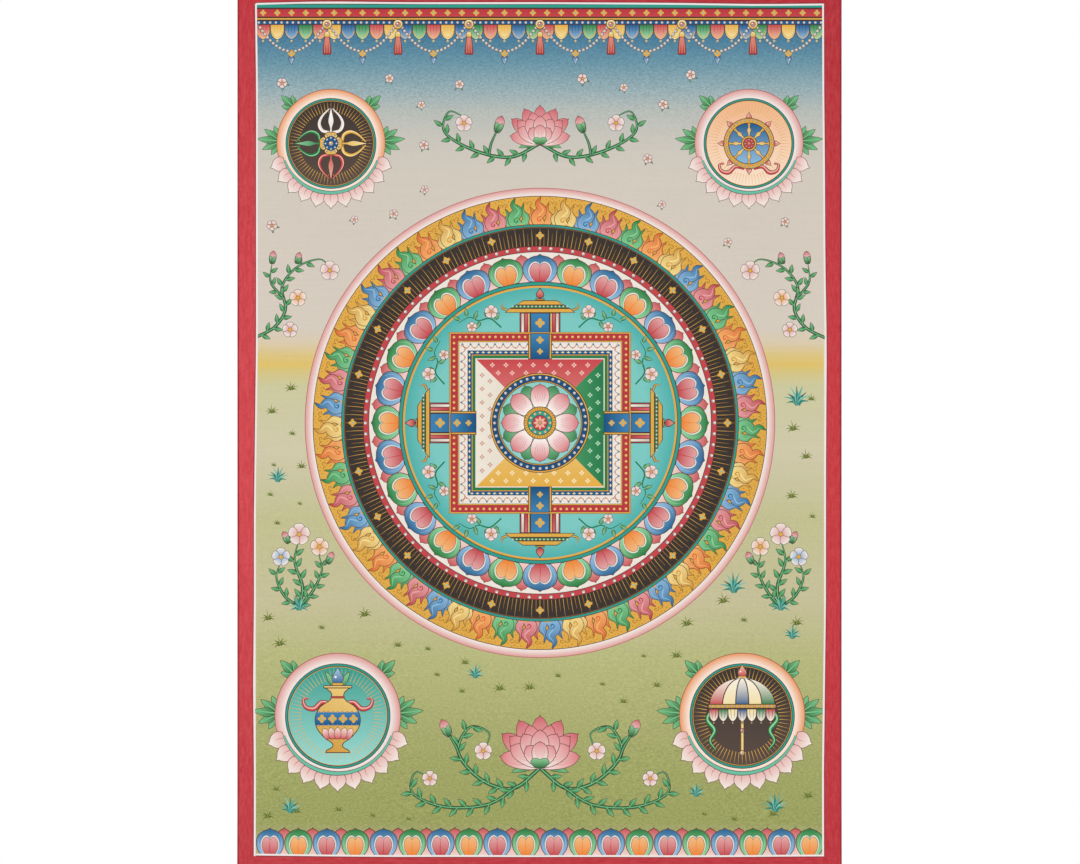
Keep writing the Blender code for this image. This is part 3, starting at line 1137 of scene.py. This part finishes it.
def stem(points, width, leaf_gap=13.0, leaf_size=1.0):
    """A curling stem that tapers to its tip, with leaves on both sides."""
    path = curved(points, 8)
    runs = np.linalg.norm(np.diff(path, axis=0), axis=1).cumsum()
    first = np.searchsorted(runs, LEAFY_FROM * runs[-1])
    between = np.searchsorted(runs, LEAFY_FROM * runs[-1] + leaf_gap / 2)
    count = np.searchsorted(runs, LEAFY_TO * runs[-1]) + 1 - first
    blade = leaf(11.0 * leaf_size, 5.0 * leaf_size, *BROAD_LEAF)
    shapes = stalk(path, path[::2], width, 0.3)
    shapes += along(moved(blade, turn=-42.0), leaf_gap, path[first : first + count])
    return shapes + along(moved(blade, turn=-138.0), leaf_gap, path[between : between + count - 4])


# A half-open lotus from the side: four rows of petals over green sepals
lotus = fanned(leaf(24.0, 7.5, *BROAD_LEAF), -112.0, 112.0, -98.0, 98.0, up=2.0)
for count, reach, length, width, rim, root in LOTUS_ROWS:
    lotus += fanned(open_petal(width, length, rim, root), *leans(count, reach))
sepals = mirrored(curved([(0, -4), (5, -2.4), (7.4, 1.6), (4, 4.4), (0, 3.4)], 3))
lotus += inked(sepals, LEAF_DEEP, LEAF_PALE, line=0.4)

spray = stem([(0, -6), (24, -24), (52, -16), (72, 8), (62, 30), (45, 25), (48, 11)], 2.6)
spray += stem([(20, -22), (46, -38), (84, -40), (112, -28), (110, -10), (96, -14)], 2.2)
spray += twig([(70, 3), (74, 13), (80, 23)], 1.8) + moved(bud("full"), 79.6, 22, -26)
spray += moved(blossom(8.6, 2.0, 8.0), 50, 9) + moved(blossom(7.4, 1.8, 7.0), 97, -15)
painting += moved(both_sides(spray) + moved(lotus, up=-2.0, size=1.15), up=-292.0)

spray = stem([(0, -4), (26, -16), (58, -10), (84, 6), (80, 24), (64, 18)], 2.2, 12.0, 0.9)
spray += twig([(45, -14.5), (43, -4), (38, 7)], 1.6) + moved(bud("long"), 38.2, 5.6, 18)
spray += moved(blossom(8.0, 1.9, 7.4), 67, 14)
painting += moved(both_sides(spray) + moved(lotus, up=-2.0, size=0.86), up=256.0)

# A flowering bush on each side of the meadow, and a branch with blossoms on each side of the sky
bush = stem([(0, 0), (-3, 20), (4, 42), (0, 62)], 2.2, 10.0, 0.95)
bush += stem([(0, 2), (-12, 16), (-20, 34), (-17, 50)], 1.8, 10.0, 0.85)
bush += stem([(0, 2), (13, 12), (20, 28), (16, 42)], 1.8, 10.0, 0.85)
bush += moved(bud("small"), -25, 40, 24) + moved(bud("small"), 9, 58, -26)
for across, up, petal, colour in (
    (0, 66, 10.5, BLOSSOM_PINK),
    (-18, 55, 8.8, ORANGE_BLOSSOM),
    (16, 46, 8.8, BLUE_BLOSSOM),
):
    bush += moved(blossom(petal, 2.2, 0.94 * petal, colour), across, up)
bush += moved(tuft(SPIKE_GREENS, 9, 13.0, 70.0), up=-1.0)
painting += both_sides(moved(bush, 212.0, -158.0))

bough = [(253, 80), (234, 90), (224, 106), (227, 126), (214, 143), (194, 150), (184, 142)]
branch = stem(bough, 2.0, 10.5, 0.85) + stem([(226, 116), (237, 130), (236, 146)], 1.5, 9.0, 0.75)
branch += moved(bud("small"), 236, 146, 8) + moved(bud("least"), 214, 146, 14)
for across, up, petal, colour in (
    (185, 140, 9.2, BLOSSOM_PINK),
    (213, 116, 8.0, ORANGE_BLOSSOM),
    (220, 88, 7.4, BLOSSOM_PINK),
):
    branch += moved(blossom(petal, 2.0, 0.94 * petal, colour), across, up)
painting += both_sides(branch)


# --- The hangings and the petal row -------------------------------------------------------------
# A painted lintel runs along the top with a frill of silk pleats, looped strings of pearls and
# tassels under it, and a row of lotus petals stands along the foot of the picture.
LINTEL_FOOT = 357.0
LOOPS = 8
LOOP_WIDTH = PICTURE_WIDTH / LOOPS
LOOP_DROP = 24.0
PLEATS = 40
PLEAT_WIDTH = PICTURE_WIDTH / PLEATS
ROW_PETALS = 20
ROW_SHARE = 0.99  # of its place that a petal of the row is wide
SPACING_SHARE = 0.999  # so that rounding never loses the last of a row
TASSEL_LENGTH = 17.0
PLEAT_PAINTS = ((CORAL, CORAL_PALE), (GOLD, GOLD_LIT), (BLUE, BLUE_PALE), (GREEN_DEEP, GREEN_LIT))


def row(motif, places, up, first=0.5, every=1):
    """The motif in a row across the picture, from the first on at every so many of its places."""
    width = PICTURE_WIDTH / places
    last = first + every * (math.ceil((places - first) / every) - 1)
    line = [(-RIGHT + place * width, up) for place in (first, last)]
    return along(motif, SPACING_SHARE * every * width, line)


def pleat(dark, pale):
    """One hanging fold of silk with a gold hem and a bead on its point."""
    half = PLEAT_WIDTH / 2
    side = curved([(half, 0), (0.96 * half, -7), (0.62 * half, -11.5), (0, -14)], 3)
    shapes = inked(mirrored(side), pale, dark, line=0.45)
    for way in (0.86, -0.86):
        shapes.append(pull(side[3:] * (way, 0.86), 0.7, GOLD, 0.8, 0.8, GILT))
    for across in (-0.5 * half, 0.0, 0.5 * half):
        crease = [(across, 0), (0.85 * across, -4.5), (0.6 * across, -9)]
        shapes.append(pull(crease, 0.5, dark, 1.0, 0.1))
    return shapes + moved(bead(1.0, GOLD_PALE, GOLD_DEEP), up=-14.9)


# One loop of pearls with a jewel at its lowest point
across = np.linspace(-0.5, 0.5, 19)
string = np.stack([(LOOP_WIDTH - 3.0) * across, -LOOP_DROP * (1.0 - 4.0 * across**2)], axis=1)
strings = [pull(string, 0.5, THREAD_BROWN, 1.0, 1.0)] + along(pearl(1.55), 3.5, string)
pendant = moved(drop(5.4, 8.5, BLUE, BLUE_WHITE), turn=180.0) + moved(gold_flower(3.2), up=1.6)
strings += moved(pendant, up=-LOOP_DROP - 3.4)

# One silk tassel in its gold cap, under the gold boss that the loops hang from
hem = [(1.6, 0), (2.8, -0.35 * TASSEL_LENGTH), (3.8, -TASSEL_LENGTH), (0, -1.05 * TASSEL_LENGTH)]
tassel = inked(mirrored(curved(hem, 3)), "#A32F38", "#DB6A62", line=0.4)
for share in (-0.6, -0.2, 0.2, 0.6):
    ends = (1.6, -1), (3, -0.5 * TASSEL_LENGTH), (3.8, -0.97 * TASSEL_LENGTH)
    tassel.append(pull([(x * share, y) for x, y in ends], 0.4, "#EDB08C", 0.6, 0.6))
cap = mirrored(curved([(0, 3), (2, 1.8), (2.6, -0.6), (1.8, -2.4), (0, -2.6)], 2))
tassel += inked(cap, GOLD, GOLD_LIT, finish=GILT, line=0.4) + moved(pearl(1.1, BLUE_LIT), up=3.8)
boss = moved(tassel, up=-9.0) + inked(circle(4.6, 20), GOLD, GOLD_LIT, finish=GILT)
boss += pearl(2.4, CORAL)

for number, paints in enumerate(PLEAT_PAINTS):
    painting += row(pleat(*paints), PLEATS, LINTEL_FOOT, 0.5 + number, len(PLEAT_PAINTS))
painting += row(strings, LOOPS, LINTEL_FOOT)
painting += inked(block(-RIGHT, RIGHT, 371.0, TOP), TURQUOISE_DEEP)
painting += inked(block(-RIGHT, RIGHT, 363.0, 371.0), CORAL, RED) + row(gold_flower(2.9), 40, 367.0)
painting += inked(block(-RIGHT, RIGHT, 360.4, 363.0), GOLD, finish=GILT)
painting += inked(block(-RIGHT, RIGHT, 356.4, 360.4), BLUE) + row(bead(1.1), 100, 358.4)
painting += row(boss, LOOPS, LINTEL_FOOT, 1.0)

painting += row(inked(ogee(16.0, 25.5), PETAL_ROSE, PETAL_RED), ROW_PETALS, -TOP, 1.0)
for number, paints in enumerate(PETAL_PAINTS):
    petal = lotus_petal(ROW_SHARE * PICTURE_WIDTH / ROW_PETALS, 25.0, *paints)
    painting += row(petal, ROW_PETALS, -TOP, 0.5 + number, len(PETAL_PAINTS))


# --- The white line and the red border ----------------------------------------------------------
# Last come a ruled line of chalk white and a flat band of cinnabar red. Both are brushed on by
# hand, so the line wanders by a millimetre or two. The red is a little paler halfway down and a
# little darker on the right side.
LINE_WIDTH = 1.6
LINE_WHITE = "#F0E6E4"
LINE_SHADE = "#7E3238"  # a hair of dark red along its outer side
SHADE_WIDTH = 0.7
SHADED_EDGE_WIDTH = 1.3  # painted shade: the darker strip of red along the cut edge, where the cloth turns away
EDGE_SHADE = 0.7
CORNER_LAP = 3.0  # how far the red of the top and the foot runs under that of the sides
BORDER_REDS = (  # height, red of the left side, red of the right side
    (CLOTH_BOTTOM, "#BF3C44", "#BE3740"),
    (-60.0, "#D34A50", "#C93D44"),
    (120.0, "#D0474E", "#C63C43"),
    (CLOTH_TOP, "#C13841", "#B5323B"),
)
RULED = (  # the corners that a line runs between, the way outwards, and how far it strays that way
    ((-1, 1), (-1, -1), (-1, 0), (0.1, -0.8, -0.8, -0.8, -0.8, 0.1, 1.0, 1.0, 1.7, 1.0, 1.0)),
    ((1, 1), (1, -1), (1, 0), (-0.8, -0.6, 0.1, 0.5, 1.6, 1.2, 1.0, 1.0, 0.1, -0.8, -0.8)),
    ((-1, 1), (1, 1), (0, 1), (-0.1, 1.2, 0.6, 0.5, 0.6, 0.3, -0.1, -1.0, -0.6)),
    ((-1, -1), (1, -1), (0, -1), (-1.3, -0.6, 0.0, 0.1, 0.3, 0.0, 0.1, 0.0, -0.3)),
)

# Cinnabar in glue, brushed on along the border in one coat that shows every pull of the brush: up
# and down along the sides, and level along the top and the foot
side_red, level_red = [
    cloth_finish(name, 0.85, 0.055, streak_size, 0.085, 0.06, bloom=0.03)
    for name, streak_size in (
        ("red_border_distemper", (1.8, 1.8, 9.0)),
        ("red_border_distemper_level", (9.0, 1.8, 1.8)),
    )
]


def ruled(corner, next_corner, out, strays):
    """A line from one corner of the picture to the next, with the small strays of the hand."""
    start, end = np.array((corner, next_corner)) * (RIGHT, TOP)
    shares = np.linspace(0.0, 1.0, len(strays))[:, None]
    return curved(start + shares * (end - start) + np.array(strays)[:, None] * out, 5)


def red_at(flat):
    """The border's red at points of the board."""
    heights, *sides = zip(*BORDER_REDS)
    tints = []
    for reds in sides:
        channels = np.transpose([linear(red) for red in reds])
        tints.append(np.stack([np.interp(flat[:, 1], heights, channel) for channel in channels], 1))
    share = (flat[:, :1] - CLOTH_LEFT) / CLOTH_WIDTH
    return tints[0] + share * (tints[1] - tints[0])


def red_coat(outline, finish):
    outline = anticlockwise(outline)
    return Coat(outline, red_at(outline), finish)


left_line, right_line, top_line, foot_line = ruled_lines = [ruled(*line) for line in RULED]
paint_left, paint_right = CLOTH_LEFT + ROUNDING, CLOTH_RIGHT - ROUNDING
paint_foot, paint_top = CLOTH_BOTTOM + ROUNDING, CLOTH_TOP - ROUNDING
for line, paint_edge in ((top_line, paint_top), (foot_line, paint_foot)):
    start, end = line[0] - (CORNER_LAP, 0.0), line[-1] + (CORNER_LAP, 0.0)
    outline = [(start[0], paint_edge), start, *line, end, (end[0], paint_edge)]
    painting.append(red_coat(outline, LEVEL_RED))
for line, paint_edge in ((left_line, paint_left), (right_line, paint_right)):
    for (low, _, _), (high, _, _) in zip(BORDER_REDS, BORDER_REDS[1:]):
        low, high = max(low, paint_foot), min(high, paint_top)
        part = line[(line[:, 1] > low) & (line[:, 1] < high)]
        head, foot = (part[0, 0], high), (part[-1, 0], low)
        outline = [(paint_edge, high), head, *part, foot, (paint_edge, low)]
        painting.append(red_coat(outline, SIDE_RED))
# Painted shade along both cut edges: a strip of the border's red, darkened by EDGE_SHADE
for edges in ((paint_left, paint_left + SHADED_EDGE_WIDTH), (paint_right - SHADED_EDGE_WIDTH, paint_right)):
    strip = block(*edges, paint_foot, paint_top)
    painting.append(Coat(strip, EDGE_SHADE * red_at(strip), SIDE_RED))
for line, (_, _, out, _) in zip(ruled_lines, RULED):
    beside = line + LINE_WIDTH / 2 * np.array(out)
    painting.append(pull(beside, 2.0 * SHADE_WIDTH, LINE_SHADE, 1.0, 1.0))
for line in ruled_lines:
    painting.append(pull(line, LINE_WIDTH, LINE_WHITE, 1.0, 1.0))


# --- The cloth, cut from its frame and hung -----------------------------------------------------
# One sheet of cotton about 1 mm thick with its paint. It keeps soft swells from hanging, and its
# lower edge still curls forward a little, as on a painting that has been kept rolled.
GRID = 12.0  # spacing of the points that let the flat picture follow the swells
NEAR = 1e-4
SLACK = 0.08  # how far the drawn lines may be from the brush's, in mm
SLOPE_STEP = 0.5  # over which the slope of the cloth is taken, in mm to each side
STRAIGHT_STRIP = 34.0
SETTLING_LENGTH = 260.0
SWELLS = (  # where its crest is, half its width, and how far forward it stands
    (-185.0, 120.0, 1.4),
    (-35.0, 130.0, -1.0),
    (125.0, 115.0, 1.2),
    (235.0, 80.0, -0.8),
)
CURL_LENGTH = 110.0
CURL_FORWARD = 2.2
BLUR = np.linspace(-15.0, 15.0, 7)  # over how many mm the priming blurs what shows through
SHOW_THROUGH = 0.14


def eased(share):
    share = np.clip(share, 0.0, 1.0)
    return share * share * (3.0 - 2.0 * share)


def hang_of(flat):
    """How far the cloth stands forward at points of the board, as its CAD solid does."""
    across = flat[:, 0] + PICTURE_MIDDLE[0]
    below = -flat[:, 1] - PICTURE_MIDDLE[1]
    grown = eased((below - STRAIGHT_STRIP) / SETTLING_LENGTH)
    forward = np.zeros(len(flat))
    for crest, half_width, height in SWELLS:
        forward += height * eased(1.0 - np.abs(across - crest) / half_width) * grown
    curled = np.maximum(below - (CLOTH_HEIGHT - CURL_LENGTH), 0.0) / CURL_LENGTH
    return forward + CURL_FORWARD * curled * curled


def facing(flat):
    """The direction the painted side faces, from the slopes of the hang."""
    across, up = [
        (hang_of(flat + move) - hang_of(flat - move)) / (2.0 * SLOPE_STEP)
        for move in SLOPE_STEP * np.eye(2)
    ]
    normals = -np.stack([across, np.ones(len(flat)), up], axis=1)
    return normals / np.linalg.norm(normals, axis=1)[:, None]


def placed(flat, behind):
    """Points of the board on the hanging cloth, so far behind its middle."""
    across, up = (flat + PICTURE_MIDDLE).T
    return MM * np.stack([across, behind - hang_of(flat), up], axis=1)


def evenly(start, end, spacing):
    return np.linspace(start, end, round((end - start) / spacing) + 1)


def cut_in_triangles(points, lines):
    """The board divided into triangles along lines between its points."""
    corners = [Vector(point) for point in points]
    flat, _, triangles, *_ = geometry.delaunay_2d_cdt(corners, lines, [], 0, NEAR, False)
    return np.array([tuple(point) for point in flat]), np.array(triangles)


def covered(outline, spots):
    """Which of the spots the outline goes round."""
    turns = np.zeros(len(spots), int)
    for (x0, y0), (x1, y1) in zip(outline, np.roll(outline, -1, axis=0)):
        side = (x1 - x0) * (spots[:, 1] - y0) - (spots[:, 0] - x0) * (y1 - y0)
        below, above = y0 <= spots[:, 1], y1 <= spots[:, 1]
        turns += (below & ~above & (side > 0.0)).astype(int) - (~below & above & (side < 0.0))
    return turns != 0


def top_coats(spots):
    """The number of the last coat painted over each spot of the board."""
    order = np.argsort(spots[:, 0])
    across = spots[order, 0]
    on_top = np.full(len(spots), -1)
    for number in range(len(painting) - 1, -1, -1):
        outline = painting[number].outline
        (near_x, near_y), (far_x, far_y) = outline.min(axis=0), outline.max(axis=0)
        spot = order[slice(*np.searchsorted(across, (near_x, far_x)))]
        spot = spot[(on_top[spot] < 0) & (spots[spot, 1] > near_y) & (spots[spot, 1] < far_y)]
        on_top[spot[covered(outline, spots[spot])]] = number
    return on_top


def sides_of(triangles):
    """The three sides of all triangles: first of every one the first side, then the others."""
    return np.concatenate([np.roll(triangles, i, axis=1)[:, :2] for i in range(3)])


def seen_lines(triangles, on_top):
    """The sides of the triangles that have different coats on their two sides."""
    edges = np.sort(sides_of(triangles), axis=1)
    order = np.lexsort(edges.T)
    edges, coats = edges[order], np.tile(on_top, 3)[order]
    shared = (edges[:-1] == edges[1:]).all(axis=1)
    return edges[:-1][shared & (coats[:-1] != coats[1:])].tolist()


def runs_of(lines):
    """The lines joined end to end in runs that break only where other lines meet them."""
    links = defaultdict(set)
    for start, end in lines:
        links[start].add(end)
        links[end].add(start)
    meetings = {point for point in links if len(links[point]) != 2}
    runs = []
    for start in [*meetings, *links]:
        while links[start]:
            run = [start, links[start].pop()]
            links[run[1]].discard(start)
            while run[-1] not in meetings and links[run[-1]]:
                after = links[run[-1]].pop()
                links[after].discard(run[-1])
                run.append(after)
            runs.append(run)
    return runs


def thinned(path):
    """The path without the points that lie within the slack of its line."""
    kept = {0, len(path) - 1}
    spans = [(0, len(path) - 1)]
    while spans:
        start, end = spans.pop()
        if end - start < 2:
            continue
        across, up = path[end] - path[start]
        offsets = path[start + 1 : end] - path[start]
        length = math.hypot(across, up)
        if length > NEAR:
            strays = np.abs(offsets[:, 0] * up - offsets[:, 1] * across) / length
        else:
            strays = np.hypot(*offsets.T)
        if strays.max() > SLACK:
            furthest = start + 1 + int(strays.argmax())
            kept.add(furthest)
            spans += [(start, furthest), (furthest, end)]
    return path[sorted(kept)]


def stepped(path):
    """The path with points added, so that its long straight runs follow the swells too."""
    counts = np.ceil(np.linalg.norm(np.diff(path, axis=0), axis=1) / GRID).astype(int)
    steps = [
        start + np.arange(count)[:, None] / count * (end - start)
        for start, end, count in zip(path, path[1:], counts)
    ]
    return np.vstack([*steps, path[-1:]])


def round_the_edge(flat, triangles):
    """The points along the cut edge, anticlockwise from the lower left corner."""
    pairs = {tuple(pair) for pair in sides_of(triangles).tolist()}
    after = dict(pair for pair in pairs if pair[::-1] not in pairs)
    trail = [min(after, key=lambda point: flat[point].sum())]
    while after[trail[-1]] != trail[0]:
        trail.append(after[trail[-1]])
    return np.array(trail)


# Every outline is cut into the board first. Only the lines that are seen are kept from that, with
# the points they need, for the second cut, which gives the faces of the cloth.
low_corner, high_corner = (paint_left, paint_foot), (paint_right, paint_top)
board = [block(paint_left, paint_right, paint_foot, paint_top)]
board += [shape.outline.clip(low_corner, high_corner) for shape in painting]
all_flat, all_triangles = cut_in_triangles(np.vstack(board), joins(board, closed=True))
all_coats = top_coats(all_flat[all_triangles].mean(axis=1))
seen = runs_of(seen_lines(all_triangles, all_coats))

columns, rows = evenly(paint_left, paint_right, GRID), evenly(paint_foot, paint_top, GRID)
grid = np.array([(x, y) for x in columns for y in rows])
paths = [stepped(thinned(all_flat[run])) for run in seen]
front_flat, front_faces = cut_in_triangles(np.vstack([grid, *paths]), joins(paths, len(grid)))
front_edge = round_the_edge(front_flat, front_faces)
edge = front_flat[front_edge]
inner = grid[((grid > low_corner) & (grid < high_corner)).all(axis=1)]
back_flat, back_faces = cut_in_triangles(np.vstack([edge, inner]), joins([edge], closed=True))
back_edge = round_the_edge(back_flat, back_faces)
on_top = top_coats(front_flat[front_faces].mean(axis=1))

# The front and the back are joined by three narrow walls, and the corners between them are worn
at_high_side = (np.abs(edge - high_corner) < NEAR) * 1.0
at_low_side = (np.abs(edge - low_corner) < NEAR) * 1.0
full_edge = edge + ROUNDING * (at_high_side - at_low_side)
half = CLOTH_THICKNESS / 2
layers = [
    placed(front_flat, -half),
    placed(full_edge, -half / 2),
    placed(full_edge, half / 2),
    placed(back_flat, half),
]
starts = np.cumsum([0] + [len(layer) for layer in layers])
round_edge = np.arange(len(edge))
rims = [front_edge, starts[1] + round_edge, starts[2] + round_edge, starts[3] + back_edge]
walls = []
for near, far in zip(rims, rims[1:]):
    walls.append(np.stack([np.roll(near, 1), np.roll(far, 1), far, near], axis=1))
back_corners = back_faces[:, ::-1]
faces = [front_faces, back_corners + starts[3], *walls]
mesh = bpy.data.meshes.new("painted_cotton")
mesh.from_pydata(np.concatenate(layers).tolist(), [], sum([part.tolist() for part in faces], []))


def fitted(shape):
    """The middle of a coat and how its colour changes across and up from there."""
    middle = shape.outline.mean(axis=0)
    if np.ptp(shape.colours, axis=0).max() < 1e-6:
        return middle, np.vstack([np.zeros((2, 3)), shape.colours[:1]])
    places = np.hstack([shape.outline - middle, np.ones((len(shape.outline), 1))])
    return middle, np.linalg.lstsq(places, shape.colours, rcond=None)[0]


fits = [fitted(shape) for shape in painting]
middles = np.array([middle for middle, _ in fits])
changes = np.array([change for _, change in fits])


def paint_at(spots, numbers):
    """The colour of the numbered coats at the spots."""
    places = np.hstack([spots - middles[numbers], np.ones((len(spots), 1))])
    return np.einsum("sk,skr->sr", places, changes[numbers]).clip(0.0, 1.0)


# The darker paint shows faintly through the cloth, blurred by the priming
shifts = np.array([(across, up) for across in BLUR for up in BLUR])
spots = (back_flat[:, None] + shifts).clip(low_corner, high_corner).reshape(-1, 2)
blurred = paint_at(spots, top_coats(spots)).reshape(len(back_flat), len(shifts), 3).mean(axis=1)
showing = linear(COTTON) * (1.0 - SHOW_THROUGH + SHOW_THROUGH * blurred)
red_walls = [red_at(edge)[[i - 1, i - 1, i, i]] for i in range(len(edge))]
colours = [
    paint_at(front_flat[front_faces].reshape(-1, 2), np.repeat(on_top, 3)),
    showing[back_corners].reshape(-1, 3),
    *red_walls,
    *red_walls,
    np.tile(linear(COTTON), (4 * len(edge), 1)),
]
lay_paint(mesh, np.concatenate(colours))

finishes = np.array([shape.finish for shape in painting])[on_top]
bare = np.full(len(back_faces), BARE)
edge_finishes = np.repeat((SIDE_RED, SIDE_RED, BARE), len(edge))  # the red runs over the cut edge
mesh.polygons.foreach_set("material_index", np.concatenate([finishes, bare, edge_finishes]))

# The bake's map: the painted side takes most of the square, the back a strip beside it
FRONT_SHARE = 0.90
BACK_STRIP = (0.91, 0.985)
EDGE_STRIP = (0.99, 1.0)
corner = np.array([CLOTH_LEFT, CLOTH_BOTTOM])
cloth_size = np.array([CLOTH_WIDTH, CLOTH_HEIGHT])
front_map = (front_flat[front_faces].reshape(-1, 2) - corner) / cloth_size * (FRONT_SHARE, 1.0)
back_across, back_up = ((back_flat[back_corners].reshape(-1, 2) - corner) / cloth_size).T
back_map = np.stack([np.interp(back_across, (0, 1), BACK_STRIP), back_up], axis=1)
wall_map = []
for wall in range(3):
    low_u, high_u = np.interp((wall, wall + 1), (0, 3), EDGE_STRIP)
    for i in range(len(edge)):
        low_v, high_v = i / len(edge), (i + 1) / len(edge)
        wall_map += [(low_u, low_v), (high_u, low_v), (high_u, high_v), (low_u, high_v)]
bake_map = mesh.uv_layers.new(name="OFBake")
bake_map.data.foreach_set("uv", np.concatenate([front_map, back_map, wall_map]).ravel())

mesh.shade_smooth()
outward = np.insert(np.sign(full_edge - edge), 1, 0.0, axis=1)
outward /= np.linalg.norm(outward, axis=1)[:, None]
vertex_normals = np.concatenate([facing(front_flat), outward, outward, -facing(back_flat)])
mesh.normals_split_custom_set_from_vertices(vertex_normals.tolist())

for finish in (glue_wash, distemper, shell_gold, side_red, level_red, primed_cotton):
    mesh.materials.append(finish)
painted_cotton = put_in_scene("painted_cotton_sheet", mesh)
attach(painted_cotton, "root")
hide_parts("painted_canvas")


# --- Floor, light and camera --------------------------------------------------------------------
# A pale floor below the hanging cloth, white surroundings as round the photographed one, and one
# large soft lamp from the upper left.
FRAME_WIDTH = 0.951  # metres across the frame at the cloth: 0.88 mm for each of 1080 pixels
LENS = 100.0
SENSOR = 36.0
FRAME_MIDDLE = (0.0004, -0.3930)
FLOOR_DROP = 0.15
FLOOR_HALF = 0.9
FLOOR_PAINT = "#EDEBE7"
ROOM_LIGHT = 0.72  # the rest of the light comes from the lamp
LAMP_AT = (-0.62, -0.66, 0.42)  # where the lamp is, seen from the cloth
LAMP_SOFTNESS = 25.0

floor_mesh = bpy.data.meshes.new("floor")
floor_height = cloth_low.z - FLOOR_DROP
floor_corners = (FLOOR_HALF * block(-1, 1, -1, 1)).tolist()
floor_mesh.from_pydata([(x, y, floor_height) for x, y in floor_corners], [], [(0, 1, 2, 3)])
floor_finish = bpy.data.materials.new("matt_floor")
floor_finish.use_nodes = True
floor_shader = floor_finish.node_tree.nodes["Principled BSDF"]
floor_shader.inputs["Base Color"].default_value = (*linear(FLOOR_PAINT), 1.0)
floor_shader.inputs["Roughness"].default_value = 0.9
floor_mesh.materials.append(floor_finish)
floor = put_in_scene("floor", floor_mesh)

world = bpy.data.worlds.new("studio")
bpy.context.scene.world = world
world.use_nodes = True
world.node_tree.nodes.clear()
seen_directly = add_node(world.node_tree, "ShaderNodeLightPath").outputs["Is Camera Ray"]
brightness = (seen_directly, 1.0 - ROOM_LIGHT, ROOM_LIGHT)
strength = add_node(world.node_tree, MATHS, *brightness, operation="MULTIPLY_ADD")
backdrop = add_node(world.node_tree, "ShaderNodeBackground", (1.0, 1.0, 1.0, 1.0), strength)
add_node(world.node_tree, "ShaderNodeOutputWorld", backdrop)

lamp_data = bpy.data.lights.new("soft_lamp", "SUN")
slant = -LAMP_AT[1] / math.hypot(*LAMP_AT)  # the share of its light that falls on the cloth
lamp_data.energy = math.pi * (1.0 - ROOM_LIGHT) / slant
lamp_data.angle = math.radians(LAMP_SOFTNESS)
lamp = put_in_scene("soft_lamp", lamp_data)
lamp.rotation_euler = Vector(LAMP_AT).to_track_quat("Z", "Y").to_euler()

camera_data = bpy.data.cameras.new("camera")
camera_data.lens = LENS
camera_data.sensor_width = SENSOR
camera = put_in_scene("camera", camera_data)
camera.location = (FRAME_MIDDLE[0], -FRAME_WIDTH * LENS / SENSOR, FRAME_MIDDLE[1])
camera.rotation_euler = (math.radians(90.0), 0.0, 0.0)
bpy.context.scene.camera = camera
bpy.context.scene.view_settings.view_transform = "Standard"
